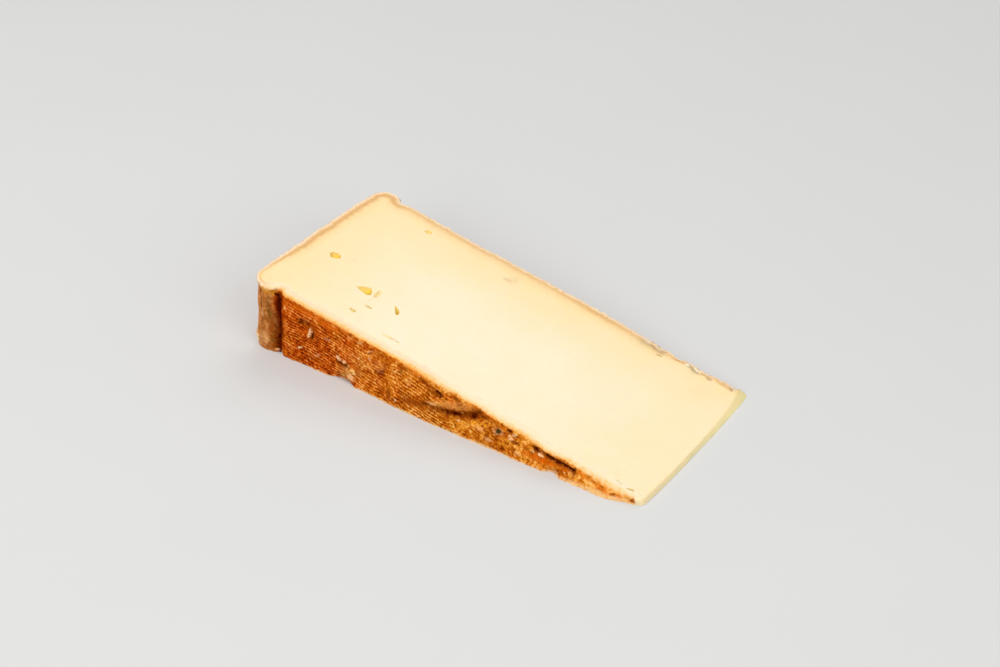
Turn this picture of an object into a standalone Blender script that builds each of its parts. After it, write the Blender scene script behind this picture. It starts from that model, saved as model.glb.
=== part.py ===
"""A wedge of vacherin fribourgeois, lying on one of its two cut faces.

The wedge is a thin sector of a whole wheel of cheese. The wheel's axis lies along Y, so the wheel's two
flat sides are the wedge's long front and back, and its rim is the wedge's heel. One section of the wheel,
drawn in depth (from the rim towards the axis) and side (from front to back), is turned about the axis from
the lower cut to the upper cut. The section changes on the way, because the soft cheese sags between its
cuts and its rind is folded and chipped. Metres, +Z up, +X from the heel to the tip.
"""

import math

import bmesh
import bpy
from mathutils import Matrix, Vector, noise

MM = 0.001

# The wheel, and the sector that was cut from it
WHEEL_RADIUS = 180.9 * MM
WHEEL_HEIGHT = 75.4 * MM
SECTOR_ANGLE = math.radians(10.05)
TIP_RADIUS = 10.9 * MM  # the wedge ends this far short of the wheel's axis
LENGTH = WHEEL_RADIUS - TIP_RADIUS

# The rolled edges of the rim: round beads, proud of the wheel's flat sides, with a furrow after each
BEAD_DEPTH = 7.2 * MM
FRONT_BEAD_RADIUS = 7.0 * MM
FRONT_BEAD_PROUD = 1.1 * MM
FRONT_LIP_PROUD = 1.4 * MM  # what the bead gains under the upper cut
FRONT_FOOT_PROUD = 0.5 * MM  # what it gains above the lower cut
BACK_BEAD_RADIUS = 6.7 * MM
BACK_BEAD_PROUD = 1.6 * MM
FURROW_DEPTH = 13.1 * MM  # where the furrow's middle is, measured from the rim
FURROW_WIDTH = 1.5 * MM
FRONT_FURROW = 1.7 * MM
BACK_FURROW = 0.8 * MM
HEEL_BULGE = 0.5 * MM

# The front side, sagging outwards above the lower cut
FRONT_FOOT = 0.9 * MM
BELLY = 2.2 * MM
BELLY_FROM = 32.0 * MM
BELLY_FULL = 84.0 * MM
BELLY_ENDS = 156.0 * MM
FOLD_BULGE = 0.9 * MM
UPPER_EDGE_BULGE = 1.0 * MM
UPPER_EDGE_BULGE_DEPTH = 132.0 * MM

# The tip's end: it bows out between front and back, and slants back as it rises, most at the back
TIP_BOW = 1.2 * MM
TIP_SLANT = 1.0 * MM
TIP_SLANT_BACK = 2.1 * MM
TIP_CORNER_FRONT = 2.2 * MM
TIP_CORNER_BACK = 0.6 * MM

# The soft rounding of the edge round the upper cut
EDGE_ROUND = 0.9 * MM
EDGE_SHARE = 0.25  # and never more than this share of the height

# The rind's lumps
LUMP_SIZE = 9.0 * MM
LUMP_HEIGHT = 0.35 * MM
GRIT_SIZE = 4.5 * MM
GRIT_HEIGHT = 0.15 * MM

# A nub of rind low on the heel's front corner: depth, side and height of its middle
NUB_PLACE = (1.2 * MM, 2.0 * MM, 4.3 * MM)
NUB_SIZE = 1.9 * MM
NUB_HEIGHT = 0.9 * MM

# How finely each stretch is divided
ROWS = 12
ROUND_ROWS = 2
SIDE_PARTS = 80
HEEL_PARTS = 20
TIP_PARTS = 16
BEAD_PARTS = 9
CORNER_PARTS = 4

# The middle of the wedge's outline, which goes to the origin
SIDE_MIDDLE = WHEEL_HEIGHT / 2 - 0.8 * MM
DEPTH_MIDDLE = LENGTH / 2 + 0.45 * MM

# Chips out of the front's lower edge: depth from the rim, half length, bite, share of the height
FRONT_CHIPS = (
    (43.5 * MM, 7.0 * MM, 2.4 * MM, 0.16),
    (135.4 * MM, 4.2 * MM, 1.9 * MM, 0.45),
)

# Wear and chips at the back's upper edge, in the same order
BACK_CHIPS = (
    (146.0 * MM, 46.0 * MM, 1.6 * MM, 0.9),
    (141.0 * MM, 5.0 * MM, 0.8 * MM, 0.5),
    (152.0 * MM, 5.0 * MM, 0.8 * MM, 0.6),
    (164.8 * MM, 3.5 * MM, 0.9 * MM, 0.9),
)

# The fold in the front rind, from low near the middle to high near the tip: (depth, height)
FOLD = (
    (73.0 * MM, 4.7 * MM),
    (82.0 * MM, 6.4 * MM),
    (92.0 * MM, 7.0 * MM),
    (98.0 * MM, 8.6 * MM),
    (103.5 * MM, 10.8 * MM),
)
FOLD_DEPTH = 0.9 * MM
FOLD_WIDTH = 1.5 * MM

# The split under the front's upper edge: its two ends, and how far below the edge each lies
SPLIT_FROM = 127.0 * MM
SPLIT_TO = 143.5 * MM
SPLIT_BELOW_EDGE = (2.2 * MM, 2.9 * MM)
SPLIT_WIDTH = 0.8 * MM
SPLIT_DEPTH = 1.0 * MM

# The eyes that open in the upper cut: depth, side, length, width, turn in degrees, how deep
EYES = (
    (14.6 * MM, 30.3 * MM, 4.2 * MM, 3.2 * MM, 20.0, 2.0 * MM),
    (35.0 * MM, 22.2 * MM, 6.4 * MM, 3.6 * MM, -25.0, 1.9 * MM),
    (40.2 * MM, 24.4 * MM, 4.0 * MM, 2.2 * MM, 60.0, 0.9 * MM),
    (39.0 * MM, 10.2 * MM, 2.6 * MM, 2.0 * MM, 0.0, 0.9 * MM),
    (42.0 * MM, 15.3 * MM, 3.2 * MM, 1.8 * MM, 15.0, 0.9 * MM),
    (50.6 * MM, 21.3 * MM, 5.0 * MM, 1.8 * MM, -55.0, 1.7 * MM),
    (31.3 * MM, 67.2 * MM, 3.0 * MM, 2.0 * MM, 10.0, 1.1 * MM),
)
EYE_SWELL = 0.18
EYE_NOISE_SIZE = 5.0 * MM

CHEESE_COLOUR = (0.87, 0.71, 0.42, 1.0)
CHEESE_ROUGHNESS = 0.5


def clamp(value):
    return max(0.0, min(1.0, value))


def ease(low, high, value):
    """0 below low, 1 above high, and a smooth step between."""
    share = clamp((value - low) / (high - low))
    return share * share * (3.0 - 2.0 * share)


def hump(value, middle, half_width):
    """1 at the middle, falling smoothly to 0 at half_width on either side."""
    share = min(1.0, abs(value - middle) / half_width)
    return 0.5 + 0.5 * math.cos(math.pi * share)


def bell(value, width):
    """1 at 0, falling away on either side over about the width given."""
    return math.exp(-((value / width) ** 2))


def distance_to_path(point, path):
    """The distance from a point to a chain of straight runs, in the plane."""
    nearest = math.inf
    for start, end in zip(path, path[1:]):
        run = Vector(end) - Vector(start)
        away = Vector(point) - Vector(start)
        share = clamp(away.dot(run) / run.length_squared)
        nearest = min(nearest, (away - share * run).length)
    return nearest


def thickness(depth):
    """The wedge's height at a depth, from cut to cut along the arc."""
    return (WHEEL_RADIUS - depth) * SECTOR_ANGLE


def front_bead_centre(turn):
    """Side coordinate of the front bead's middle, at a share of the turn from cut to cut."""
    proud = FRONT_BEAD_PROUD
    proud += FRONT_LIP_PROUD * ease(0.86, 1.0, turn) + FRONT_FOOT_PROUD * hump(turn, 0.12, 0.16)
    return FRONT_BEAD_RADIUS - proud


def back_bead_centre():
    return WHEEL_HEIGHT + BACK_BEAD_PROUD - BACK_BEAD_RADIUS


def front_cuts(depth, turn):
    """How far the fold, the split and the chips cut into the front side."""
    height = thickness(depth) * turn
    cut = FOLD_DEPTH * bell(distance_to_path((depth, height), FOLD), FOLD_WIDTH)
    along = clamp((depth - SPLIT_FROM) / (SPLIT_TO - SPLIT_FROM))
    level = SPLIT_BELOW_EDGE[0] + (SPLIT_BELOW_EDGE[1] - SPLIT_BELOW_EDGE[0]) * along
    open_share = ease(SPLIT_FROM - 2 * MM, SPLIT_FROM + 4 * MM, depth)
    open_share *= 1 - ease(SPLIT_TO - MM, SPLIT_TO + 2 * MM, depth)
    cut += SPLIT_DEPTH * open_share * bell(thickness(depth) - height - level, SPLIT_WIDTH)
    for middle, half_length, bite, reach in FRONT_CHIPS:
        cut += bite * hump(depth, middle, half_length) * (1 - ease(0.0, reach, turn))
    return cut


def front_side(depth, turn):
    """Side coordinate of the front rind: 0 on the wheel's true flat side, and less where it bulges."""
    lower = FRONT_FOOT + BELLY * ease(BELLY_FROM, BELLY_FULL, depth)
    lower *= 1 - ease(BELLY_ENDS, LENGTH, depth)
    upper = 0.5 * MM * (1 - ease(15 * MM, 35 * MM, depth))
    upper -= 0.4 * MM * hump(depth, 85 * MM, 45 * MM)
    upper += UPPER_EDGE_BULGE * hump(depth, UPPER_EDGE_BULGE_DEPTH, 9 * MM)
    swell = FOLD_BULGE * math.sin(math.pi * turn) * hump(depth, 92 * MM, 50 * MM)
    flat = lower + (upper - lower) * turn**0.8 + swell
    reach = FRONT_BEAD_RADIUS**2 - (depth - BEAD_DEPTH) ** 2
    bead = math.sqrt(max(0.0, reach)) - front_bead_centre(turn)
    furrow = FRONT_FURROW * bell(depth - FURROW_DEPTH, FURROW_WIDTH)
    return front_cuts(depth, turn) + furrow - max(bead, flat)


def back_side(depth, turn):
    """Side coordinate of the back rind, worn along its upper edge towards the tip."""
    recess = 0.4 * MM * hump(depth, 45 * MM, 30 * MM)
    for middle, half_length, bite, reach in BACK_CHIPS:
        recess += bite * hump(depth, middle, half_length) * ease(1 - reach, 1.0, turn)
    sag = 1.2 * MM * (1 - turn) * hump(depth, 95 * MM, 60 * MM)
    reach = BACK_BEAD_RADIUS**2 - (depth - BEAD_DEPTH) ** 2
    bead = back_bead_centre() + math.sqrt(max(0.0, reach))
    furrow = BACK_FURROW * bell(depth - FURROW_DEPTH, FURROW_WIDTH)
    return max(bead, WHEEL_HEIGHT - recess + sag) - furrow


def tip_depth(side, turn):
    """Depth of the tip's end, at a side coordinate and a share of the turn."""
    across = clamp(side / WHEEL_HEIGHT)
    bow = TIP_BOW * math.sin(math.pi * across) ** 0.5
    slant = TIP_SLANT + TIP_SLANT_BACK * across**4
    return LENGTH + bow - slant * turn


def arc(centre, radius, start, end, parts):
    """Points on an arc, from its start angle up to but not including its end, in degrees."""
    points = []
    for k in range(parts):
        angle = math.radians(start + (end - start) * k / parts)
        points.append((centre[0] + radius * math.cos(angle), centre[1] + radius * math.sin(angle)))
    return points


def steps(start, end, parts):
    """Evenly spaced values from start up to but not including end."""
    return [start + (end - start) * k / parts for k in range(parts)]


def section(turn_at):
    """One section of the wedge: (depth, side, turn, how much of the rind's lumps it takes) for each point.

    turn_at gives the share of the turn at a depth.
    """
    tip_turn = turn_at(LENGTH)
    front_depth = tip_depth(TIP_CORNER_FRONT, tip_turn) - TIP_CORNER_FRONT
    front_corner = (front_depth, front_side(front_depth, tip_turn) + TIP_CORNER_FRONT)
    back_depth = tip_depth(WHEEL_HEIGHT, tip_turn) - TIP_CORNER_BACK
    back_corner = (back_depth, back_side(back_depth, tip_turn) - TIP_CORNER_BACK)
    front_bead = (BEAD_DEPTH, front_bead_centre(turn_at(BEAD_DEPTH)))
    back_bead = (BEAD_DEPTH, back_bead_centre())

    tip = arc(front_corner, TIP_CORNER_FRONT, -90, 0, CORNER_PARTS)
    tip += [(tip_depth(s, tip_turn), s) for s in steps(front_corner[1], back_corner[1], TIP_PARTS)]
    tip += arc(back_corner, TIP_CORNER_BACK, 0, 90, CORNER_PARTS)
    rind = [(d, back_side(d, turn_at(d))) for d in steps(back_depth, BEAD_DEPTH, SIDE_PARTS)]
    rind += arc(back_bead, BACK_BEAD_RADIUS, 90, 180, BEAD_PARTS)
    heel_ends = (BEAD_DEPTH - BACK_BEAD_RADIUS, BEAD_DEPTH - FRONT_BEAD_RADIUS)
    for k in range(HEEL_PARTS):
        share = k / HEEL_PARTS
        depth = heel_ends[0] + (heel_ends[1] - heel_ends[0]) * share
        depth -= HEEL_BULGE * math.sin(math.pi * share)
        rind.append((depth, back_bead[1] + (front_bead[1] - back_bead[1]) * share))
    rind += arc(front_bead, FRONT_BEAD_RADIUS, 180, 270, BEAD_PARTS)
    rind += [(d, front_side(d, turn_at(d))) for d in steps(BEAD_DEPTH, front_depth, SIDE_PARTS)]
    marked = [(*point, 0.0) for point in tip] + [(*point, 1.0) for point in rind]
    return [(depth, side, turn_at(depth), rough) for depth, side, rough in marked]


def placed(depth, side, turn):
    """The place of a point of the section once it is turned about the wheel's axis."""
    radius = WHEEL_RADIUS - depth
    angle = SECTOR_ANGLE * turn
    along = WHEEL_RADIUS - DEPTH_MIDDLE - radius * math.cos(angle)
    return Vector((along, side - SIDE_MIDDLE, radius * math.sin(angle)))


def relief(depth, side, turn):
    """How far the rind stands out at a point: its lumps, finer grit, and the nub on the corner."""
    point = placed(depth, side, turn)
    out = noise.noise(point / LUMP_SIZE) * LUMP_HEIGHT
    out += noise.noise(point / GRIT_SIZE + Vector((7.0, 3.0, 11.0))) * GRIT_HEIGHT
    from_nub = Vector((depth, side, thickness(depth) * turn)) - Vector(NUB_PLACE)
    return out + NUB_HEIGHT * bell(from_nub.length, NUB_SIZE)


def edge_round(depth):
    return min(EDGE_ROUND, EDGE_SHARE * thickness(depth))


def levels():
    """The rings from the lower cut to the upper: (a function from depth to turn, share of the rounding)."""
    made = []
    for row in range(ROWS + 1):
        made.append((lambda d, s=row / ROWS: s * (1 - edge_round(d) / thickness(d)), 0.0))
    for row in range(1, ROUND_ROWS + 1):
        angle = math.pi / 2 * row / ROUND_ROWS
        short = 1 - math.sin(angle)
        made.append((lambda d, s=short: 1 - s * edge_round(d) / thickness(d), 1 - math.cos(angle)))
    return made


def ring(turn_at, rounding):
    """A section's points in place, moved along the section's own normal by the relief and the rounding."""
    points = section(turn_at)
    made = []
    for k, (depth, side, turn, rough) in enumerate(points):
        before = Vector(points[k - 1][:2])
        after = Vector(points[(k + 1) % len(points)][:2])
        tangent = (after - before).normalized()
        push = rough * relief(depth, side, turn) - rounding * edge_round(depth)
        made.append(placed(depth + tangent.y * push, side - tangent.x * push, turn))
    return made


def wedge_mesh():
    """The rings joined by quads, and closed by the two cuts."""
    bm = bmesh.new()
    rings = []
    for turn_at, rounding in levels():
        rings.append([bm.verts.new(point) for point in ring(turn_at, rounding)])
    for lower, upper in zip(rings, rings[1:]):
        for k in range(len(lower)):
            bm.faces.new((lower[k - 1], lower[k], upper[k], upper[k - 1]))
    bm.faces.new(rings[0])
    bm.faces.new(rings[-1])
    bmesh.ops.recalc_face_normals(bm, faces=bm.faces)
    mesh = bpy.data.meshes.new("cheese_wedge")
    bm.to_mesh(mesh)
    bm.free()
    mesh.shade_smooth()
    mesh.set_sharp_from_angle(angle=math.radians(40))
    return mesh


def add_eye(bm, eye):
    """Adds one eye: a flattened, uneven ball whose middle lies on the upper cut."""
    depth, side, length, width, degrees, deep = eye
    at = placed(depth, side, 1.0)
    on_cut = Matrix.Translation(at) @ Matrix.Rotation(SECTOR_ANGLE, 4, "Y")
    spun = Matrix.Rotation(math.radians(degrees), 4, "Z")
    size = Matrix.Diagonal((length / 2, width / 2, deep, 1.0))
    made = bmesh.ops.create_icosphere(bm, subdivisions=2, radius=1.0)
    for vert in made["verts"]:
        swell = 1.0 + EYE_SWELL * noise.noise(vert.co * 1.3 + at / EYE_NOISE_SIZE)
        vert.co = on_cut @ spun @ size @ (vert.co * swell)


def eye_cutter():
    """All the eyes as one hidden cutter."""
    bm = bmesh.new()
    for eye in EYES:
        add_eye(bm, eye)
    mesh = bpy.data.meshes.new("eye_cutter")
    bm.to_mesh(mesh)
    bm.free()
    cutter = bpy.data.objects.new("eye_cutter", mesh)
    bpy.context.scene.collection.objects.link(cutter)
    cutter.hide_render = True
    cutter.display_type = "WIRE"
    return cutter


def cheese_material():
    """The cheese's plain finish: an ivory paste with a soft sheen."""
    material = bpy.data.materials.new("cheese")
    material.use_nodes = True
    shader = material.node_tree.nodes["Principled BSDF"]
    shader.inputs["Base Color"].default_value = CHEESE_COLOUR
    shader.inputs["Roughness"].default_value = CHEESE_ROUGHNESS
    shader.inputs["Metallic"].default_value = 0.0
    return material


def cheese_wedge():
    """The wedge, with its eyes cut out of the upper cut."""
    wedge = bpy.data.objects.new("cheese_wedge", wedge_mesh())
    bpy.context.scene.collection.objects.link(wedge)
    wedge.data.materials.append(cheese_material())
    eyes = wedge.modifiers.new("eyes", "BOOLEAN")
    eyes.operation = "DIFFERENCE"
    eyes.solver = "EXACT"
    eyes.object = eye_cutter()


def main():
    for obj in list(bpy.data.objects):
        bpy.data.objects.remove(obj)
    cheese_wedge()


main()
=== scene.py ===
"""A wedge of vacherin fribourgeois, dressed for the camera.

The wedge is a thin sector of a wheel of cheese, lying on one of its two cut faces. Its wall is one section of
the wheel turned from the lower cut to the upper, at a fine step. Both cuts are triangulated inside the wall's
edge, and the upper one holds the eyes. Geometry Nodes press the cloth's weave into the rind and strew its
flecks. Metres, +Z up, +X from the heel to the tip, +Y from the shown rind side to the hidden one.
"""

from __future__ import annotations

import logging
import math
from dataclasses import dataclass, field
from enum import Enum
from functools import partial
from typing import Any

import bpy
import numpy as np
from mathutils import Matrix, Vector, geometry, noise


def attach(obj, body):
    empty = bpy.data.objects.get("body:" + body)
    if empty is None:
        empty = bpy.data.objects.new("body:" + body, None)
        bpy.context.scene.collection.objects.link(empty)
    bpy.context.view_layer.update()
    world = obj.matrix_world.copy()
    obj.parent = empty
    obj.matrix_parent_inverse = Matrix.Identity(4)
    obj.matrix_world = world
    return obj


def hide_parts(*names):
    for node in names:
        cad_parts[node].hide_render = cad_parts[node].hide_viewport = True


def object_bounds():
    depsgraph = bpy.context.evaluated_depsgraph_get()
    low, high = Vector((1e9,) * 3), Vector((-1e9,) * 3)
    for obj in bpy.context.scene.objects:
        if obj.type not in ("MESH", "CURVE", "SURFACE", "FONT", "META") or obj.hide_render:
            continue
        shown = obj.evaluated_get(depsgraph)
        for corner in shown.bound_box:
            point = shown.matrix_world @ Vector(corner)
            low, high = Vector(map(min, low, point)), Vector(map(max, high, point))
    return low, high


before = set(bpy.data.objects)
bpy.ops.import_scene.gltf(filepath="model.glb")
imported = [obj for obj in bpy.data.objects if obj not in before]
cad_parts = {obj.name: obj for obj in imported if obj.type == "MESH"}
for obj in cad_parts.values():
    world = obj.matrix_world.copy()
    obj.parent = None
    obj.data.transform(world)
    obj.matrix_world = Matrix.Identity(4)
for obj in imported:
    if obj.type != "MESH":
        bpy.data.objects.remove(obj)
CAD_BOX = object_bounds()

MM = 0.001
INSET = 0.01 * MM
NODE = "cheese_wedge"

Array = np.ndarray
Colour = tuple[float, float, float]
Socket = bpy.types.NodeSocket
Tree = bpy.types.NodeTree
log = logging.getLogger("vacherin")


def clamp(value: Array | float) -> Array | float:
    """The value, held between 0 and 1."""
    return np.clip(value, 0.0, 1.0)


def ease(low: float, high: float, value: Array | float) -> Array | float:
    """0 below low, 1 above high, and a smooth step between."""
    share = clamp((value - low) / (high - low))
    return share * share * (3.0 - 2.0 * share)


def hump(value: Array | float, middle: float, half_width: float) -> Array | float:
    """1 at the middle, falling smoothly to 0 at half_width on either side."""
    share = np.minimum(1.0, np.abs(value - middle) / half_width)
    return 0.5 + 0.5 * np.cos(np.pi * share)


def bell(value: Array | float, width: float) -> Array | float:
    """1 at 0, falling away on either side over about the width given."""
    return np.exp(-((value / width) ** 2))


def distance_to_path(x: Array, y: Array, path: Array | tuple) -> Array:
    """The distance from each point to a chain of straight runs, in the plane.

    Args:
        x: First coordinate of each point.
        y: Second coordinate of each point.
        path: The chain's corners, as pairs.

    Returns:
        One distance for each point.
    """
    nearest = np.full(np.shape(x), np.inf)
    for (x0, y0), (x1, y1) in zip(path, path[1:]):
        run_x, run_y = x1 - x0, y1 - y0
        share = clamp(((x - x0) * run_x + (y - y0) * run_y) / (run_x**2 + run_y**2))
        nearest = np.minimum(nearest, np.hypot(x - x0 - share * run_x, y - y0 - share * run_y))
    return nearest


def noise_at(points: Array, size: float, shift: Colour = (0.0, 0.0, 0.0)) -> Array:
    """Smooth noise between about -1 and 1 at each point.

    Args:
        points: Places, one row each.
        size: The size of the noise's lumps.
        shift: Moves the pattern, so that two calls differ.

    Returns:
        One value for each row.
    """
    flat = points.reshape(-1, 3) / size + np.array(shift)
    values = [noise.noise(Vector(p)) for p in flat]
    return np.array(values).reshape(points.shape[:-1])


def within_box(place: Array) -> Array:
    """Each place, held just inside the CAD box."""
    low, high = (np.array(corner) for corner in CAD_BOX)
    return np.clip(place, low + (INSET, INSET, 0.0), high - INSET)


class Region(Enum):
    """What a mark does to the surface's colour; the value is the attribute that carries it. Glow marks paint
    light shining through the rind, and the stain and umber attributes also carry painted shade.
    """

    PALE = "pale"
    CHALK = "chalk"
    STAIN_AND_SHADE = "stain"
    MOULD = "mould"
    OLIVE = "olive"
    UMBER_AND_SHADE = "umber"
    GLOW = "glow"
    EMBER = "ember"
    INK = "ink"


@dataclass(frozen=True)
class Mark:
    """A spot, an ellipse in mm: its depth from the rim and its height, or its side coordinate on a cut."""

    region: Region
    depth: float
    height: float
    half_length: float
    half_height: float
    lean: float = 0.0
    strength: float = 1.0
    proud: float = 0.0

    def share(self, depth: Array, height: Array, ragged: Array) -> Array:
        """How much of the mark lies at each point, with its edge made uneven by a noise.

        Args:
            depth: Depth of each point from the rim.
            height: Its height, or its side coordinate on a cut.
            ragged: The noise.

        Returns:
            One share for each point, 0 outside the mark.
        """
        turn = math.radians(self.lean)
        across = depth / MM - self.depth
        above = height / MM - self.height
        along = across * math.cos(turn) + above * math.sin(turn)
        aside = above * math.cos(turn) - across * math.sin(turn)
        reach = np.hypot(along / self.half_length, aside / self.half_height)
        return 1.0 - ease(0.6, 1.2, reach + 1.3 * ragged)


def marks_of(spots: dict[Region, tuple[tuple[float, ...], ...]]) -> tuple[Mark, ...]:
    """The marks of each region, from rows of a mark's numbers."""
    return tuple(Mark(region, *row) for region, rows in spots.items() for row in rows)


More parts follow.
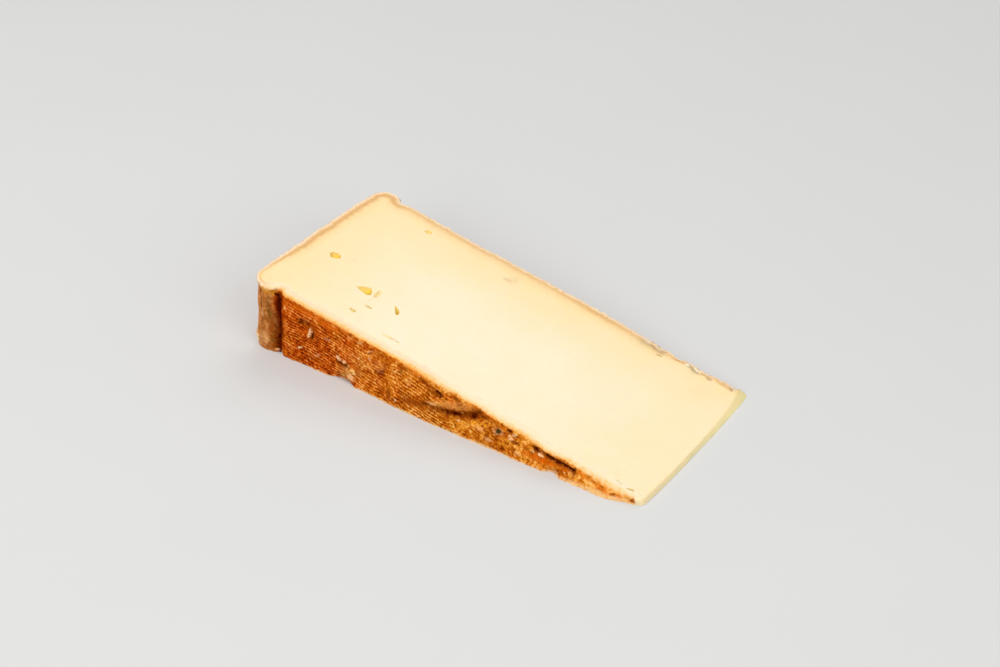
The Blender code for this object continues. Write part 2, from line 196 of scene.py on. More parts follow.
# Marks on the front rind: depth, height, half length, half height, lean, strength, how proud
MARKS = marks_of(
    {
        # Painted glow: bright orange patches that stand for light shining through the rind, the strongest
        # under the top of the corner strip
        Region.GLOW: (
            (6.4, 27.6, 1.2, 0.9, 0, 0.6), (8, 28, 3.6, 1.9, -8, 1.1), (97, 4.6, 4, 1.8, 8, 0.35),
            (104, 7.4, 2.2, 1.5, 0, 0.7), (107.4, 8.2, 1.2, 0.9, 0, 0.5), (114.8, 3.6, 1.6, 0.8, 0, 0.3),
            (135.4, 2.8, 2, 0.6, -6, 0.6), (147.8, 4.2, 1.6, 1, 0, 0.3),
        ),
        Region.MOULD: (
            (7.2, 28.7, 2.6, 0.7, -8, 0.75), (43.4, 2.7, 1.6, 0.65, 8, 0.65, 0.15),
            (45.6, 4.3, 1, 0.55, 20, 0.55, 0.15), (45.9, 6.3, 0.6, 0.75, 0, 0.8, 0.3),
            (46.4, 5.4, 4, 3, 0, 0.16), (46.4, 8.4, 0.45, 0.4, 0, 0.9, 0.3),
            (47.7, 6.7, 0.8, 0.6, 0, 0.95, 0.35), (48.4, 6.2, 1.4, 1.4, 0, 0.8, 0.25),
            (49, 6.1, 0.6, 0.75, 0, 0.7, 0.25), (51, 12, 6, 3.2, 0, 0.07),
            (66.9, 14.4, 0.8, 0.7, 0, 0.6, 0.15), (140.4, 2.5, 0.4, 0.35, 0, 1, 0.12),
            (142.1, 2.6, 0.4, 0.35, 0, 1, 0.12),
        ),
        Region.UMBER_AND_SHADE: (
            (8.4, 26.2, 1.6, 0.6, 0, 0.45), (9.4, 20.7, 0.7, 2.2, 0, 0.6), (10.4, 10, 1.6, 4.6, 8, 0.85),
            (11.1, 29, 0.7, 0.6, 0, 0.8), (11.2, 3.2, 1.6, 2, 0, 0.7), (26.6, 18.9, 4, 2.4, -10, 0.65),
            (28.8, 13.2, 1.6, 2.6, -14, 0.4), (30, 5, 5, 1.5, -5, 0.35),
            (43.4, 7.5, 3.2, 0.9, -6, 0.95, -0.3), (50.7, 7.1, 1.4, 1.6, 0, 0.35),
            (51, 7, 1.3, 2.2, 0, 0.45), (65.4, 4.2, 1, 3, 4, 0.85), (70.7, 17.2, 1.4, 0.6, -14, 0.6),
            (77.2, 4.4, 1.8, 0.9, 0, 0.6, -0.15), (79.1, 15.3, 2.2, 0.9, -16, 0.95, -0.1),
            (85.4, 12.6, 3.8, 1.6, -10, 1), (93.6, 13.2, 1.6, 0.8, -16, 0.8), (100, 8.8, 2.6, 1.2, 14, 0.8),
            (102.4, 10.8, 1, 1.3, 0, 0.9), (106, 10.8, 2.4, 0.8, 6, 0.95, -0.1),
            (108.6, 4.6, 1.2, 0.9, 0, 0.7, -0.1), (116.6, 4.6, 1.4, 0.7, 0, 0.7, -0.1),
            (119.6, 5.9, 1.8, 0.7, 0, 0.9, -0.1), (124, 5.6, 1.6, 0.6, -14, 0.7),
            (129, 5.9, 1.6, 0.6, -10, 0.9), (133.4, 4.2, 1, 0.5, 0, 0.6),
            (143.7, 3, 0.6, 1.3, 10, 0.7, -0.1), (149, 4.2, 1, 0.5, -18, 0.7),
            (151.6, 3.2, 1.2, 0.35, -18, 0.5), (155.4, 2.6, 0.9, 0.3, -18, 0.5),
            (159.6, 1.5, 1.1, 0.5, 0, 0.85, -0.1), (166.4, 1.3, 1.1, 0.95, 0, 1, -0.15),
        ),
        Region.OLIVE: (
            (8.4, 21.9, 0.9, 3.2, 0, 0.6), (8.9, 17.6, 1, 2.6, 8, 0.7), (10.6, 6.2, 1.5, 3.6, 4, 0.6),
            (44.6, 3.6, 1.6, 0.6, 10, 0.45, -0.2), (67.9, 14, 1.6, 0.9, 0, 0.1, 0.1),
            (69.3, 15.2, 0.8, 1.3, 10, 0.5, -0.15), (164, 1.6, 1.2, 0.5, 0, 0.5, -0.1),
        ),
        Region.STAIN_AND_SHADE: (
            (3.9, 11.6, 1.3, 0.3, 6, 0.75, -0.12), (4.7, 26.6, 0.35, 2.4, 4, 0.8, -0.15),
            (5.4, 21, 0.32, 3.6, 4, 0.7, -0.15), (5.6, 12.4, 0.3, 2, -14, 0.6, -0.12),
            (24, 19.2, 1.7, 1.3, 20, 0.8, -0.1), (27.1, 19.2, 0.9, 1.1, 0, 0.7, -0.1),
            # The mark at 29.3, 14.9 is painted shadow, sunk a little, beside the proud pale flake at depth
            # 28.2
            (29.3, 14.9, 0.6, 2.3, -14, 0.9, -0.4), (43.2, 7.6, 2.4, 0.6, -8, 0.6, -0.2),
            (44.9, 7.5, 0.9, 0.6, -10, 0.6, -0.3), (46.7, 22.3, 1.6, 0.45, 0, 0.75, -0.15),
            (55.2, 17.4, 1.6, 0.4, 30, 0.5, -0.2), (79.3, 15.1, 1.1, 0.5, -16, 0.5, -0.1),
            (82.2, 6.9, 1.9, 0.55, 8, 0.75, -0.1), (86.6, 12.8, 2.2, 0.8, -24, 0.9, -0.3),
            (90.4, 7.1, 1.4, 0.45, 0, 0.8, -0.15), (90.5, 3.6, 0.4, 0.4, 0, 0.6, -0.1),
            (93.2, 13.6, 0.6, 0.4, 0, 0.5, -0.1), (94.2, 7.4, 2.6, 0.6, 10, 0.95, -0.2),
            (95.2, 11.4, 0.5, 0.4, 0, 0.7, -0.1), (95.4, 3.8, 0.5, 0.4, 0, 0.8, -0.1),
            (96.7, 10.9, 0.6, 0.35, -20, 0.6, -0.1), (101.6, 9.3, 1.7, 0.9, 14, 0.95, -0.2),
            (105.4, 10.4, 1.4, 0.5, 8, 0.6, -0.1), (111, 5.2, 0.6, 0.5, 0, 0.5, -0.1),
            (116.4, 9.4, 1.3, 0.6, -14, 1, -0.2), (119.4, 8.4, 1.2, 0.35, -14, 0.8, -0.15),
            (120.4, 6.2, 1.2, 0.4, -12, 0.6, -0.1), (127.6, 6.7, 1.5, 0.65, -20, 1, -0.25),
            (141.2, 2.7, 0.4, 0.4, 0, 0.5, -0.1), (166.4, 1.2, 0.6, 0.5, 0, 0.4),
        ),
        Region.PALE: (
            (5.9, 16.5, 0.8, 2.2, 0, 0.3), (6.6, 5.4, 2.2, 3.4, 0, 0.3), (11.9, 1.3, 1, 0.5, 0, 0.7, 0.1),
            (13.9, 0.8, 0.5, 0.6, 0, 0.8, 0.2), (16.3, 22.3, 0.6, 0.6, 0, 0.7, 0.2),
            (23.6, 7.3, 1.4, 0.5, 30, 0.95, 0.3), (28.2, 15.9, 0.62, 2.6, -14, 1, 0.7),
            (31.6, 6.8, 1.9, 0.5, 35, 0.35), (36, 15.6, 1.8, 0.8, 0, 0.25),
            (41.9, 9.9, 1.1, 1.4, 20, 0.9, 0.45), (44.3, 9.1, 0.8, 0.9, 0, 0.85, 0.35),
            (47.7, 3.4, 1.5, 1.5, 0, 0.8, 0.3), (55, 18.2, 1.5, 0.3, 30, 0.75, 0.3),
            (55.7, 15.5, 0.55, 0.75, 0, 0.6, 0.25), (60, 13.6, 3, 2.6, 0, 0.08),
            (73.6, 12.4, 1.6, 1.6, 0, 0.12), (84.6, 8.6, 2.6, 0.35, 14, 0.55, 0.1),
            (85, 7.8, 1.5, 0.5, 10, 0.5, 0.2), (96.6, 6, 1, 0.4, 0, 0.75, 0.15),
            (105, 6.4, 2.2, 1.1, 0, 0.25), (109.6, 3.2, 1.6, 0.8, 0, 0.45, 0.15),
            (112.2, 7.5, 2, 1.5, 0, 0.28), (117.2, 7.8, 0.6, 0.6, 0, 0.7, 0.3),
            (117.9, 6.9, 1.1, 0.6, 14, 1, 0.3), (118.6, 8.4, 0.8, 0.4, 20, 0.8, 0.2),
            (121.6, 2.9, 1.4, 0.8, 0, 0.45, 0.2), (127.1, 5.5, 0.55, 0.55, 0, 0.7, 0.2),
            (130.3, 5.5, 1.2, 0.4, -10, 1, 0.3), (162.6, 0.6, 1.2, 0.35, 0, 0.7, 0.1),
        ),
        Region.CHALK: (
            (1.7, 3.1, 1.7, 2.4, 0, 1), (28.2, 16.2, 0.5, 2.2, -14, 0.45),
            (68.8, 3.2, 0.5, 0.5, 0, 0.8, 0.3), (130.1, 5.6, 0.6, 0.25, -10, 0.4),
            (136.6, 1.3, 1.6, 0.5, 0, 0.35, 0.1), (160.4, 0.9, 0.6, 0.35, 0, 0.5, 0.1),
        ),
        Region.EMBER: (
            (24, 24, 5, 2, -8, 0.5), (34, 22.2, 6, 1.4, -8, 0.45), (75.6, 16.4, 1.6, 1, 0, 0.5),
            (86, 10.9, 2.4, 0.7, 0, 0.6), (90, 12.6, 3, 0.9, -10, 0.35), (106.5, 11.6, 2.6, 0.9, 0, 0.6),
            (127.6, 3.9, 4.6, 1.2, -6, 0.5), (129.5, 4.6, 2.4, 0.8, -6, 0.7),
            (133.4, 3.8, 3.8, 1.4, -12, 1), (141, 3.2, 2, 0.9, 0, 0.5), (147, 4, 2.4, 1, -10, 0.45),
            (149.6, 3.9, 0.6, 0.6, 0, 0.5), (155, 2.2, 6, 0.8, -12, 0.4),
            (161.4, 1.5, 0.9, 0.4, 0, 0.6, -0.1),
        ),
        Region.INK: (
            (112.4, 7.7, 1.1, 0.9, 0, 1, -0.3),
        ),
    }
)

# Marks on the upper cut, with the side coordinate in place of the height
CUT_MARKS = marks_of(
    {
        Region.UMBER_AND_SHADE: (
            (70.3, 65.4, 1.4, 1.1, 30, 0.42), (71.4, 66, 3.2, 1.8, 30, 0.16),
            (132.5, 70.9, 4, 0.9, -10, 0.25), (142.8, 71.4, 2.8, 0.35, 6, 0.75, -0.1),
            (154.6, 71.3, 2.4, 0.35, 4, 0.7), (160.8, 71.8, 2.6, 0.7, -6, 0.38),
            (164, 71.5, 1.8, 0.8, 10, 0.4),
        ),
        Region.OLIVE: (
            (21.5, 33, 1, 1.1, 60, 0.3), (35.9, 68.2, 1.3, 0.8, 0, 0.14), (75.2, 5.6, 0.9, 0.3, -30, 0.5),
            (76.4, 4.8, 0.9, 0.3, -30, 0.5), (77.2, 3.9, 0.7, 0.3, -30, 0.35),
            (128, 70.4, 5, 0.9, -4, 0.35), (148.4, 70.9, 1.6, 0.8, -30, 0.5, -0.2),
            (156.8, 6, 0.5, 2, 0, 0.12), (157.4, 61.4, 2.4, 4.5, 0, 0.07), (158.1, 3.6, 0.7, 0.5, -50, 0.5),
            (159.5, 2.8, 0.8, 0.5, -20, 0.42),
        ),
        Region.CHALK: (
            (8.6, -4.6, 1.5, 1.2, 0, 0.6, 0.1), (128.4, 72.3, 1.6, 0.4, -8, 0.7, 0.15),
            (132.8, 72, 1.8, 0.35, -10, 0.7, 0.15), (145.9, 72, 0.9, 0.4, 0, 1, 0.2),
            (150.2, 71.8, 2.2, 0.3, -12, 0.9, 0.25), (159.8, 72.2, 0.8, 0.3, 0, 0.8, 0.2),
            (166.6, 72.4, 1.4, 0.3, 20, 0.9, 0.2),
        ),
        Region.GLOW: (
            (2.6, 1.6, 0.9, 1.6, 0, 0.25), (4.6, -2.4, 0.9, 1.3, 0, 0.3), (141.6, 71.7, 2.6, 0.3, 6, 0.15),
            (160.8, 71.6, 2.6, 0.6, -6, 0.25),
        ),
        Region.STAIN_AND_SHADE: (
            (131.5, 71.6, 6.5, 1, -6, 0.32), (135.2, 72.2, 2, 0.35, -8, 0.4, -0.15),
            (149.4, 71.4, 3.2, 0.9, -12, 0.42, -0.1), (151, 70.6, 1.3, 0.35, -14, 0.45, -0.2),
            (156, 70.7, 1.3, 0.2, 10, 0.5, -0.2), (165, 71.8, 1, 0.4, 10, 0.5, -0.15),
        ),
    }
)


@dataclass(frozen=True)
class Eye:
    """A hollow in the upper cut: its outline's corners in depth and side, and how deep it goes, in mm."""

    corners: tuple[tuple[float, float], ...]
    deep: float
    green: float = 0.0
    # The glow is how golden the walls are: partly the paste's colour, partly a painted glow of light through
    # it
    glow: float = 1.0

    @classmethod
    def oval(cls, place: tuple, length: float, width: float, turn: float, **rest: float) -> Eye:
        """An eye with an oval outline of a length and width at a depth and side, turned by degrees.

        Args:
            place: Depth and side coordinate of the middle, in mm.
            length: Length in mm.
            width: Width in mm.
            turn: The turn of its length, in degrees.
            **rest: The eye's other values, by name.

        Returns:
            The eye.
        """
        lean = math.radians(turn)
        corners = []
        for k in range(12):
            angle = math.radians(30 * k)
            along, aside = length / 2 * math.cos(angle), width / 2 * math.sin(angle)
            depth = place[0] + along * math.cos(lean) - aside * math.sin(lean)
            corners.append((depth, place[1] + aside * math.cos(lean) + along * math.sin(lean)))
        return cls(tuple(corners), **rest)

    @property
    def middle(self) -> Array:
        """The middle of the outline."""
        return np.array(self.corners).mean(axis=0)

    @property
    def span(self) -> float:
        """The outline's mean width."""
        return 2 * float(np.linalg.norm(np.array(self.corners) - self.middle, axis=1).mean())

    def radius(self, angle: Array) -> Array:
        """How far out the outline lies in each direction from the middle.

        Args:
            angle: Directions from the middle, in radians.

        Returns:
            One distance in mm for each direction.
        """
        fine = np.linspace(-math.pi, math.pi, 96, endpoint=False)
        out_x, out_y = np.cos(fine), np.sin(fine)
        away = np.array(self.corners) - self.middle
        reach = np.full(fine.shape, self.span)
        for (x0, y0), (x1, y1) in zip(away, np.roll(away, -1, axis=0)):
            run_x, run_y = x1 - x0, y1 - y0
            cross = out_x * run_y - out_y * run_x
            cross = np.where(np.abs(cross) < 1e-9, 1e-9, cross)
            along = (x0 * out_y - y0 * out_x) / cross
            hit = (x0 * run_y - y0 * run_x) / cross
            met = (hit > 0) & (along > -1e-6) & (along < 1 + 1e-6)
            reach = np.where(met, np.minimum(reach, hit), reach)
        soft = (np.roll(reach, 1) + 2 * reach + np.roll(reach, -1)) / 4
        return np.interp(angle, fine, soft, period=2 * math.pi)


EYES = (
    Eye(((12.5, 29.6), (12.7, 31), (14.4, 31.8), (16.3, 31.5), (17.1, 30.2), (16, 28.8), (14.2, 28.2)), 1.5),
    Eye(
        (
            *((31.6, 21.6), (32.9, 22.7), (34.6, 23.7), (36.4, 24.5)),
            *((37.8, 22.9), (38.5, 21.2), (37.2, 20.3), (34.6, 20.6)),
        ),
        deep=1.3,
    ),
    Eye(
        ((39.7, 20.9), (39.2, 23.4), (39.1, 25.6), (40.3, 25.9), (41, 25.4), (41, 23.7), (40.8, 21.6)),
        deep=0.6,
        green=0.1,
        glow=0.5,
    ),
    Eye(((37.2, 9.9), (38.3, 10.6), (40.2, 10.5), (40.5, 9.4), (39.2, 9.1)), deep=0.6, green=0.2, glow=0.7),
    Eye(((40.3, 15.2), (41.8, 16), (43.6, 15.8), (43.4, 15), (41.8, 14.7)), deep=0.45, green=0.3, glow=0.55),
    Eye(
        (
            *((48.7, 22.9), (49.7, 22.6), (51.4, 21.6), (52.4, 20.4)),
            *((52.5, 19), (51.5, 19.3), (50.2, 20.8), (49.2, 21.9)),
        ),
        deep=1.2,
        green=0.04,
    ),
    Eye(((29.6, 66.3), (30.3, 67.9), (32, 68.3), (32.8, 67.2), (31.5, 65.7)), deep=0.6, green=0.05, glow=0.7),
    Eye.oval((57.2, 7.3), 5.2, 1.1, 4.0, deep=0.25, glow=0.5),
    Eye.oval((61.0, 7.4), 2.6, 0.6, 6.0, deep=0.2, green=0.3, glow=0.4),
    Eye.oval((135.4, 68.95), 2.8, 0.42, 8.0, deep=0.5, green=1.0, glow=1.0),
    Eye(((161.9, 2.2), (163.2, 3), (164.6, 3.4), (165.3, 2.9), (163.8, 2.2)), deep=0.4, green=0.3, glow=0.75),
)


@dataclass(frozen=True)
class WheelSector:
    """The form of the wedge: the sizes of the wheel, of the sector, and of what age and the knife did."""

    wheel_radius: float = 180.9 * MM
    wheel_height: float = 75.4 * MM
    sector_angle: float = math.radians(10.05)
    tip_radius: float = 10.9 * MM
    bead_depth: float = 7.2 * MM
    front_bead_radius: float = 7.0 * MM
    front_bead_proud: float = 1.1 * MM
    front_lip_proud: float = 1.4 * MM
    front_foot_proud: float = 0.5 * MM
    back_bead_radius: float = 6.7 * MM
    back_bead_proud: float = 1.6 * MM
    furrow_depth: float = 13.1 * MM
    furrow_width: float = 1.5 * MM
    front_furrow: float = 1.7 * MM
    back_furrow: float = 0.8 * MM
    heel_bulge: float = 0.5 * MM
    front_foot: float = 0.9 * MM
    belly: float = 2.2 * MM
    belly_from: float = 32.0 * MM
    belly_full: float = 84.0 * MM
    belly_ends: float = 156.0 * MM
    fold_bulge: float = 0.9 * MM
    upper_edge_bulge: float = 1.0 * MM
    upper_edge_bulge_depth: float = 132.0 * MM
    tip_bow: float = 1.2 * MM
    tip_slant: float = 1.0 * MM
    tip_slant_back: float = 2.1 * MM
    tip_corner_front: float = 2.2 * MM
    tip_corner_back: float = 0.6 * MM
    edge_radius: float = 0.9 * MM
    edge_share: float = 0.25
    lump_size: float = 9.0 * MM
    lump_height: float = 0.35 * MM
    grit_size: float = 4.5 * MM
    grit_height: float = 0.15 * MM
    nub_place: Colour = (1.2 * MM, 2.0 * MM, 3.2 * MM)
    nub_size: float = 1.9 * MM
    nub_height: float = 0.9 * MM
    front_chips: tuple = ((43.5, 7.0, 2.4, 0.16), (135.4, 4.2, 1.9, 0.45))
    back_chips: tuple = (
        (146.0, 46.0, 1.6, 0.9),
        (141.0, 5.0, 0.8, 0.5),
        (152.0, 5.0, 0.8, 0.6),
        (164.8, 3.5, 0.9, 0.9),
    )
    groove_path: tuple = (
        (0.0, 5.6 * MM, 11.5 * MM, 17.0 * MM, 22.7 * MM, 29.0 * MM),
        (13.0 * MM, 13.1 * MM, 13.8 * MM, 13.5 * MM, 12.4 * MM, 11.7 * MM),
    )
    fold: tuple = ((73.0, 4.7), (82.0, 6.4), (92.0, 7.0), (98.0, 8.6), (103.5, 10.8))
    fold_depth: float = 0.9 * MM
    fold_width: float = 1.5 * MM
    split_from: float = 127.0 * MM
    split_to: float = 143.5 * MM
    split_below_edge: tuple[float, float] = (2.2 * MM, 2.9 * MM)
    split_width: float = 0.8 * MM
    split_depth: float = 1.0 * MM
    split_hook: tuple = ((143.0, 2.9), (143.9, 1.6), (143.8, 0.5))

    @property
    def length(self) -> float:
        """How far the tip lies from the rim."""
        return self.wheel_radius - self.tip_radius

    @property
    def side_middle(self) -> float:
        """The side coordinate that goes to the origin."""
        return self.wheel_height / 2 - 0.8 * MM

    @property
    def depth_middle(self) -> float:
        """The depth that goes to the origin."""
        return self.length / 2 + 0.45 * MM

    def thickness(self, depth: Array | float) -> Array | float:
        """The wedge's height at a depth, from cut to cut along the arc."""
        return (self.wheel_radius - depth) * self.sector_angle

    def edge_round(self, depth: Array | float) -> Array | float:
        """Radius of the soft edge round the upper cut."""
        return np.minimum(self.edge_radius, self.edge_share * self.thickness(depth))

    def front_bead_centre(self, turn: Array | float) -> Array | float:
        """Side coordinate of the front bead's middle, at a share of the turn from cut to cut."""
        proud = self.front_bead_proud + self.front_lip_proud * ease(0.86, 1.0, turn)
        return self.front_bead_radius - proud - self.front_foot_proud * hump(turn, 0.12, 0.16)

    @property
    def back_bead_centre(self) -> float:
        """Side coordinate of the back bead's middle."""
        return self.wheel_height + self.back_bead_proud - self.back_bead_radius

    def fold_distance(self, depth: Array, height: Array) -> Array:
        """How far each point of the front rind lies from the fold's line."""
        return distance_to_path(depth / MM, height / MM, self.fold) * MM

    def split_share(self, depth: Array, height: Array) -> tuple[Array, Array]:
        """How open the split is at each depth, and how far each point lies below its line.

        Args:
            depth: Depth of each point from the rim.
            height: Height of each point above the floor.

        Returns:
            The openness, from 0 to 1, and the distance below the line.
        """
        along = clamp((depth - self.split_from) / (self.split_to - self.split_from))
        low, high = self.split_below_edge
        opened = ease(self.split_from - 2 * MM, self.split_from + 4 * MM, depth)
        opened = opened * (1 - ease(self.split_to - MM, self.split_to + 2 * MM, depth))
        return opened, self.thickness(depth) - height - (low + (high - low) * along)

    def front_cuts(self, depth: Array, turn: Array) -> Array:
        """How far the fold, the split and the chips cut into the front side.

        Args:
            depth: Depth of each point from the rim.
            turn: Share of the turn from cut to cut.

        Returns:
            How far the side is set back, in metres.
        """
        height = self.thickness(depth) * turn
        folded = bell(self.fold_distance(depth, height), self.fold_width)
        cut = self.fold_depth * folded * ease(72 * MM, 92 * MM, depth)
        opened, away = self.split_share(depth, height)
        cut = cut + self.split_depth * opened * bell(away, self.split_width)
        for middle, half_length, bite, reach in self.front_chips:
            there = hump(depth, middle * MM, half_length * MM) * (1 - ease(0.0, reach, turn))
            cut = cut + bite * MM * there
        return cut

    def front_side(self, depth: Array, turn: Array) -> Array:
        """Side coordinate of the front rind: 0 on the wheel's true flat side, and less where it bulges.

        Args:
            depth: Depth of each point from the rim.
            turn: Share of the turn from cut to cut.

        Returns:
            One side coordinate for each point.
        """
        lower = self.front_foot + self.belly * ease(self.belly_from, self.belly_full, depth)
        lower = lower * (1 - ease(self.belly_ends, self.length, depth))
        upper = 0.5 * MM * (1 - ease(15 * MM, 35 * MM, depth)) - 0.4 * MM * hump(depth, 85 * MM, 45 * MM)
        upper = upper + self.upper_edge_bulge * hump(depth, self.upper_edge_bulge_depth, 9 * MM)
        swell = self.fold_bulge * np.sin(np.pi * turn) * hump(depth, 92 * MM, 50 * MM)
        flat = lower + (upper - lower) * turn**0.8 + swell
        reach = self.front_bead_radius**2 - (depth - self.bead_depth) ** 2
        bead = np.sqrt(np.maximum(0.0, reach)) - self.front_bead_centre(turn)
        furrow = self.front_furrow * bell(depth - self.furrow_depth, self.furrow_width)
        return self.front_cuts(depth, turn) + furrow - np.maximum(bead, flat)

    def back_side(self, depth: Array, turn: Array) -> Array:
        """Side coordinate of the back rind, worn along its upper edge towards the tip.

        Args:
            depth: Depth of each point from the rim.
            turn: Share of the turn from cut to cut.

        Returns:
            One side coordinate for each point.
        """
        recess = 0.4 * MM * hump(depth, 45 * MM, 30 * MM)
        for middle, half_length, bite, reach in self.back_chips:
            there = hump(depth, middle * MM, half_length * MM) * ease(1 - reach, 1.0, turn)
            recess = recess + bite * MM * there
        sag = 1.2 * MM * (1 - turn) * hump(depth, 95 * MM, 60 * MM)
        reach = self.back_bead_radius**2 - (depth - self.bead_depth) ** 2
        bead = self.back_bead_centre + np.sqrt(np.maximum(0.0, reach))
        furrow = self.back_furrow * bell(depth - self.furrow_depth, self.furrow_width)
        return np.maximum(bead, self.wheel_height - recess + sag) - furrow

    def worn_back(self, depth: Array, side: Array) -> Array:
        """How worn and flaky the back rind is: two stretches of it towards the tip."""
        return np.maximum(hump(depth, 133 * MM, 10 * MM), hump(depth, 150.5 * MM, 8 * MM)) * (side > 40 * MM)

    @staticmethod
    def band_strength(depth: Array, side: Array) -> Array:
        """How strong the band inside the rind is: tan on the heel and the far back, peach along the front.

        Args:
            depth: Depth of each point from the rim.
            side: Side coordinate of each point.

        Returns:
            One strength for each point.
        """
        heel = (1 - ease(9 * MM, 20 * MM, depth)) * ease(6 * MM, 16 * MM, side)
        far = 0.75 * hump(depth, 106 * MM, 22 * MM) * ease(40 * MM, 60 * MM, side)
        near = (1 - ease(76 * MM, 92 * MM, depth)) * (1 - ease(20 * MM, 40 * MM, side))
        near = near * ease(10 * MM, 14 * MM, depth)
        corner = (1 - ease(9 * MM, 16 * MM, depth)) * (1 - ease(0.0, 10 * MM, side))
        return np.maximum.reduce([heel, far, near]) - corner

    def tip_depth(self, side: Array, turn: Array) -> Array:
        """Depth of the tip's end, at a side coordinate and a share of the turn.

        Args:
            side: Side coordinate of each point.
            turn: Share of the turn from cut to cut.

        Returns:
            One depth for each point.
        """
        across = clamp(side / self.wheel_height)
        bow = self.tip_bow * np.sin(np.pi * across) ** 0.5
        slant = self.tip_slant + self.tip_slant_back * across**4
        return self.length + bow - slant * turn

    def placed(self, depth: Array, side: Array, turn: Array) -> Array:
        """The place of each point of a section once it is turned about the wheel's axis.

        Args:
            depth: Depth of each point from the rim.
            side: Side coordinate of each point.
            turn: Share of the turn from cut to cut.

        Returns:
            The places, x, y and z last.
        """
        radius = self.wheel_radius - depth
        angle = self.sector_angle * turn
        along = self.wheel_radius - self.depth_middle - radius * np.cos(angle)
        return np.stack([along, side - self.side_middle, radius * np.sin(angle)], axis=-1)


class Stretch(Enum):
    """A stretch of the wedge's outline."""

    TIP = 0
    BACK = 1
    HEEL = 2
    FRONT = 3


@dataclass
class WallPoints:
    """Everything known about the wall's points, one row a level from the lower cut up, one column a place."""

    place: Array
    depth: Array
    side: Array
    turn: Array
    height: Array
    below: Array
    along: Array
    stretch: Array
    crumbs: Array


@dataclass
class Wall:
    """The wedge's wall: rind on the front, heel and back, paste on the tip."""

    form: WheelSector
    tip_parts: int = 150
    back_parts: int = 330
    heel_parts: int = 190
    front_parts: int = 400
    back_bead_parts: int = 24
    front_bead_parts: int = 32
    corner_parts: int = 6
    levels: int = 118
    round_levels: int = 5
    crag_size: float = 1.7 * MM
    crag_height: float = 0.28 * MM
    pock_size: float = 0.9 * MM
    pock_height: float = 0.07 * MM
    crumb_size: float = 0.9 * MM
    crumb_height: float = 0.55 * MM
    worn_height: float = 0.5 * MM
    crease_depth: float = 0.45 * MM
    crease_grows: tuple[float, float] = (76 * MM, 90 * MM)
    knife_wave: float = 7.0 * MM
    knife_height: float = 0.8 * MM
    steps: dict[Stretch, float] = field(
        default_factory=lambda: {
            Stretch.TIP: 0.35 * MM,
            Stretch.BACK: 0.5 * MM,
            Stretch.HEEL: 0.45 * MM,
            Stretch.FRONT: 0.27 * MM,
        }
    )

    def outline(self, share: float, rise: float) -> tuple[Array, Array, Array]:
        """The wedge's outline at one level.

        Args:
            share: Share of the height below the rounded edge.
            rise: Share of the rounded edge's own height that is added.

        Returns:
            Depth, side and turn of each column.
        """
        form = self.form

        def turn_at(depth: Array | float) -> Array | float:
            """The share of the turn that this level has at a depth."""
            edge = form.edge_round(depth) / form.thickness(depth)
            return share * (1 - edge) + rise * edge

        def arc(middle: tuple, radius: float, start: float, end: float, parts: int) -> Array:
            """Points on an arc, its end left out, angles in degrees."""
            angle = np.radians(np.linspace(start, end, parts, endpoint=False))
            return np.stack([middle[0] + radius * np.cos(angle), middle[1] + radius * np.sin(angle)])

        tip_turn = turn_at(form.length)
        front_depth = form.tip_depth(form.tip_corner_front, tip_turn) - form.tip_corner_front
        front_corner = (front_depth, form.front_side(front_depth, tip_turn) + form.tip_corner_front)
        back_depth = form.tip_depth(form.wheel_height, tip_turn) - form.tip_corner_back
        back_corner = (back_depth, form.back_side(back_depth, tip_turn) - form.tip_corner_back)
        front_bead = (form.bead_depth, form.front_bead_centre(turn_at(form.bead_depth)))
        back_bead = (form.bead_depth, form.back_bead_centre)

        tip_sides = np.linspace(front_corner[1], back_corner[1], self.tip_parts, endpoint=False)
        back_depths = np.linspace(back_depth, form.bead_depth, self.back_parts, endpoint=False)
        front_depths = np.linspace(form.bead_depth, front_depth, self.front_parts, endpoint=False)
        heel = np.linspace(0.0, 1.0, self.heel_parts, endpoint=False)
        heel_from = form.bead_depth - form.back_bead_radius
        heel_to = form.bead_depth - form.front_bead_radius
        heel_depths = heel_from + (heel_to - heel_from) * heel - form.heel_bulge * np.sin(np.pi * heel)
        heel_sides = back_bead[1] + (front_bead[1] - back_bead[1]) * heel
        runs = [
            arc(front_corner, form.tip_corner_front, -90, 0, self.corner_parts),
            np.stack([form.tip_depth(tip_sides, tip_turn), tip_sides]),
            arc(back_corner, form.tip_corner_back, 0, 90, self.corner_parts),
            np.stack([back_depths, form.back_side(back_depths, turn_at(back_depths))]),
            arc(back_bead, form.back_bead_radius, 90, 180, self.back_bead_parts),
            np.stack([heel_depths, heel_sides]),
            arc(front_bead, form.front_bead_radius, 180, 270, self.front_bead_parts),
            np.stack([front_depths, form.front_side(front_depths, turn_at(front_depths))]),
        ]
        depth, side = np.concatenate(runs, axis=1)
        return depth, side, turn_at(depth)

    def stretches(self) -> Array:
        """Which stretch each column belongs to."""
        counts = (
            (Stretch.TIP, self.tip_parts + 2 * self.corner_parts),
            (Stretch.BACK, self.back_parts + self.back_bead_parts),
            (Stretch.HEEL, self.heel_parts),
            (Stretch.FRONT, self.front_bead_parts + self.front_parts),
        )
        return np.concatenate([np.full(count, stretch.value) for stretch, count in counts])

    def crumbs(self, place: Array, below: Array, stretch: Array) -> Array:
        """Crumbs of loose skin along the upper edges of the heel and the back, from 0 to about 1.

        Args:
            place: The place of each point.
            below: How far each lies below the upper cut.
            stretch: Which stretch of the outline it lies on.

        Returns:
            One value for each point.
        """
        edges = (stretch == Stretch.HEEL.value) | (stretch == Stretch.BACK.value)
        peaks = np.maximum(0.0, noise_at(place, self.crumb_size, (8.0, 4.0, 1.0)) - 0.12)
        patchy = clamp(0.5 + 1.6 * noise_at(place, 7.0 * MM, (2.0, 5.0, 3.0)))
        return 2.6 * edges * peaks * patchy * bell(below - 0.7 * MM, 0.9 * MM)

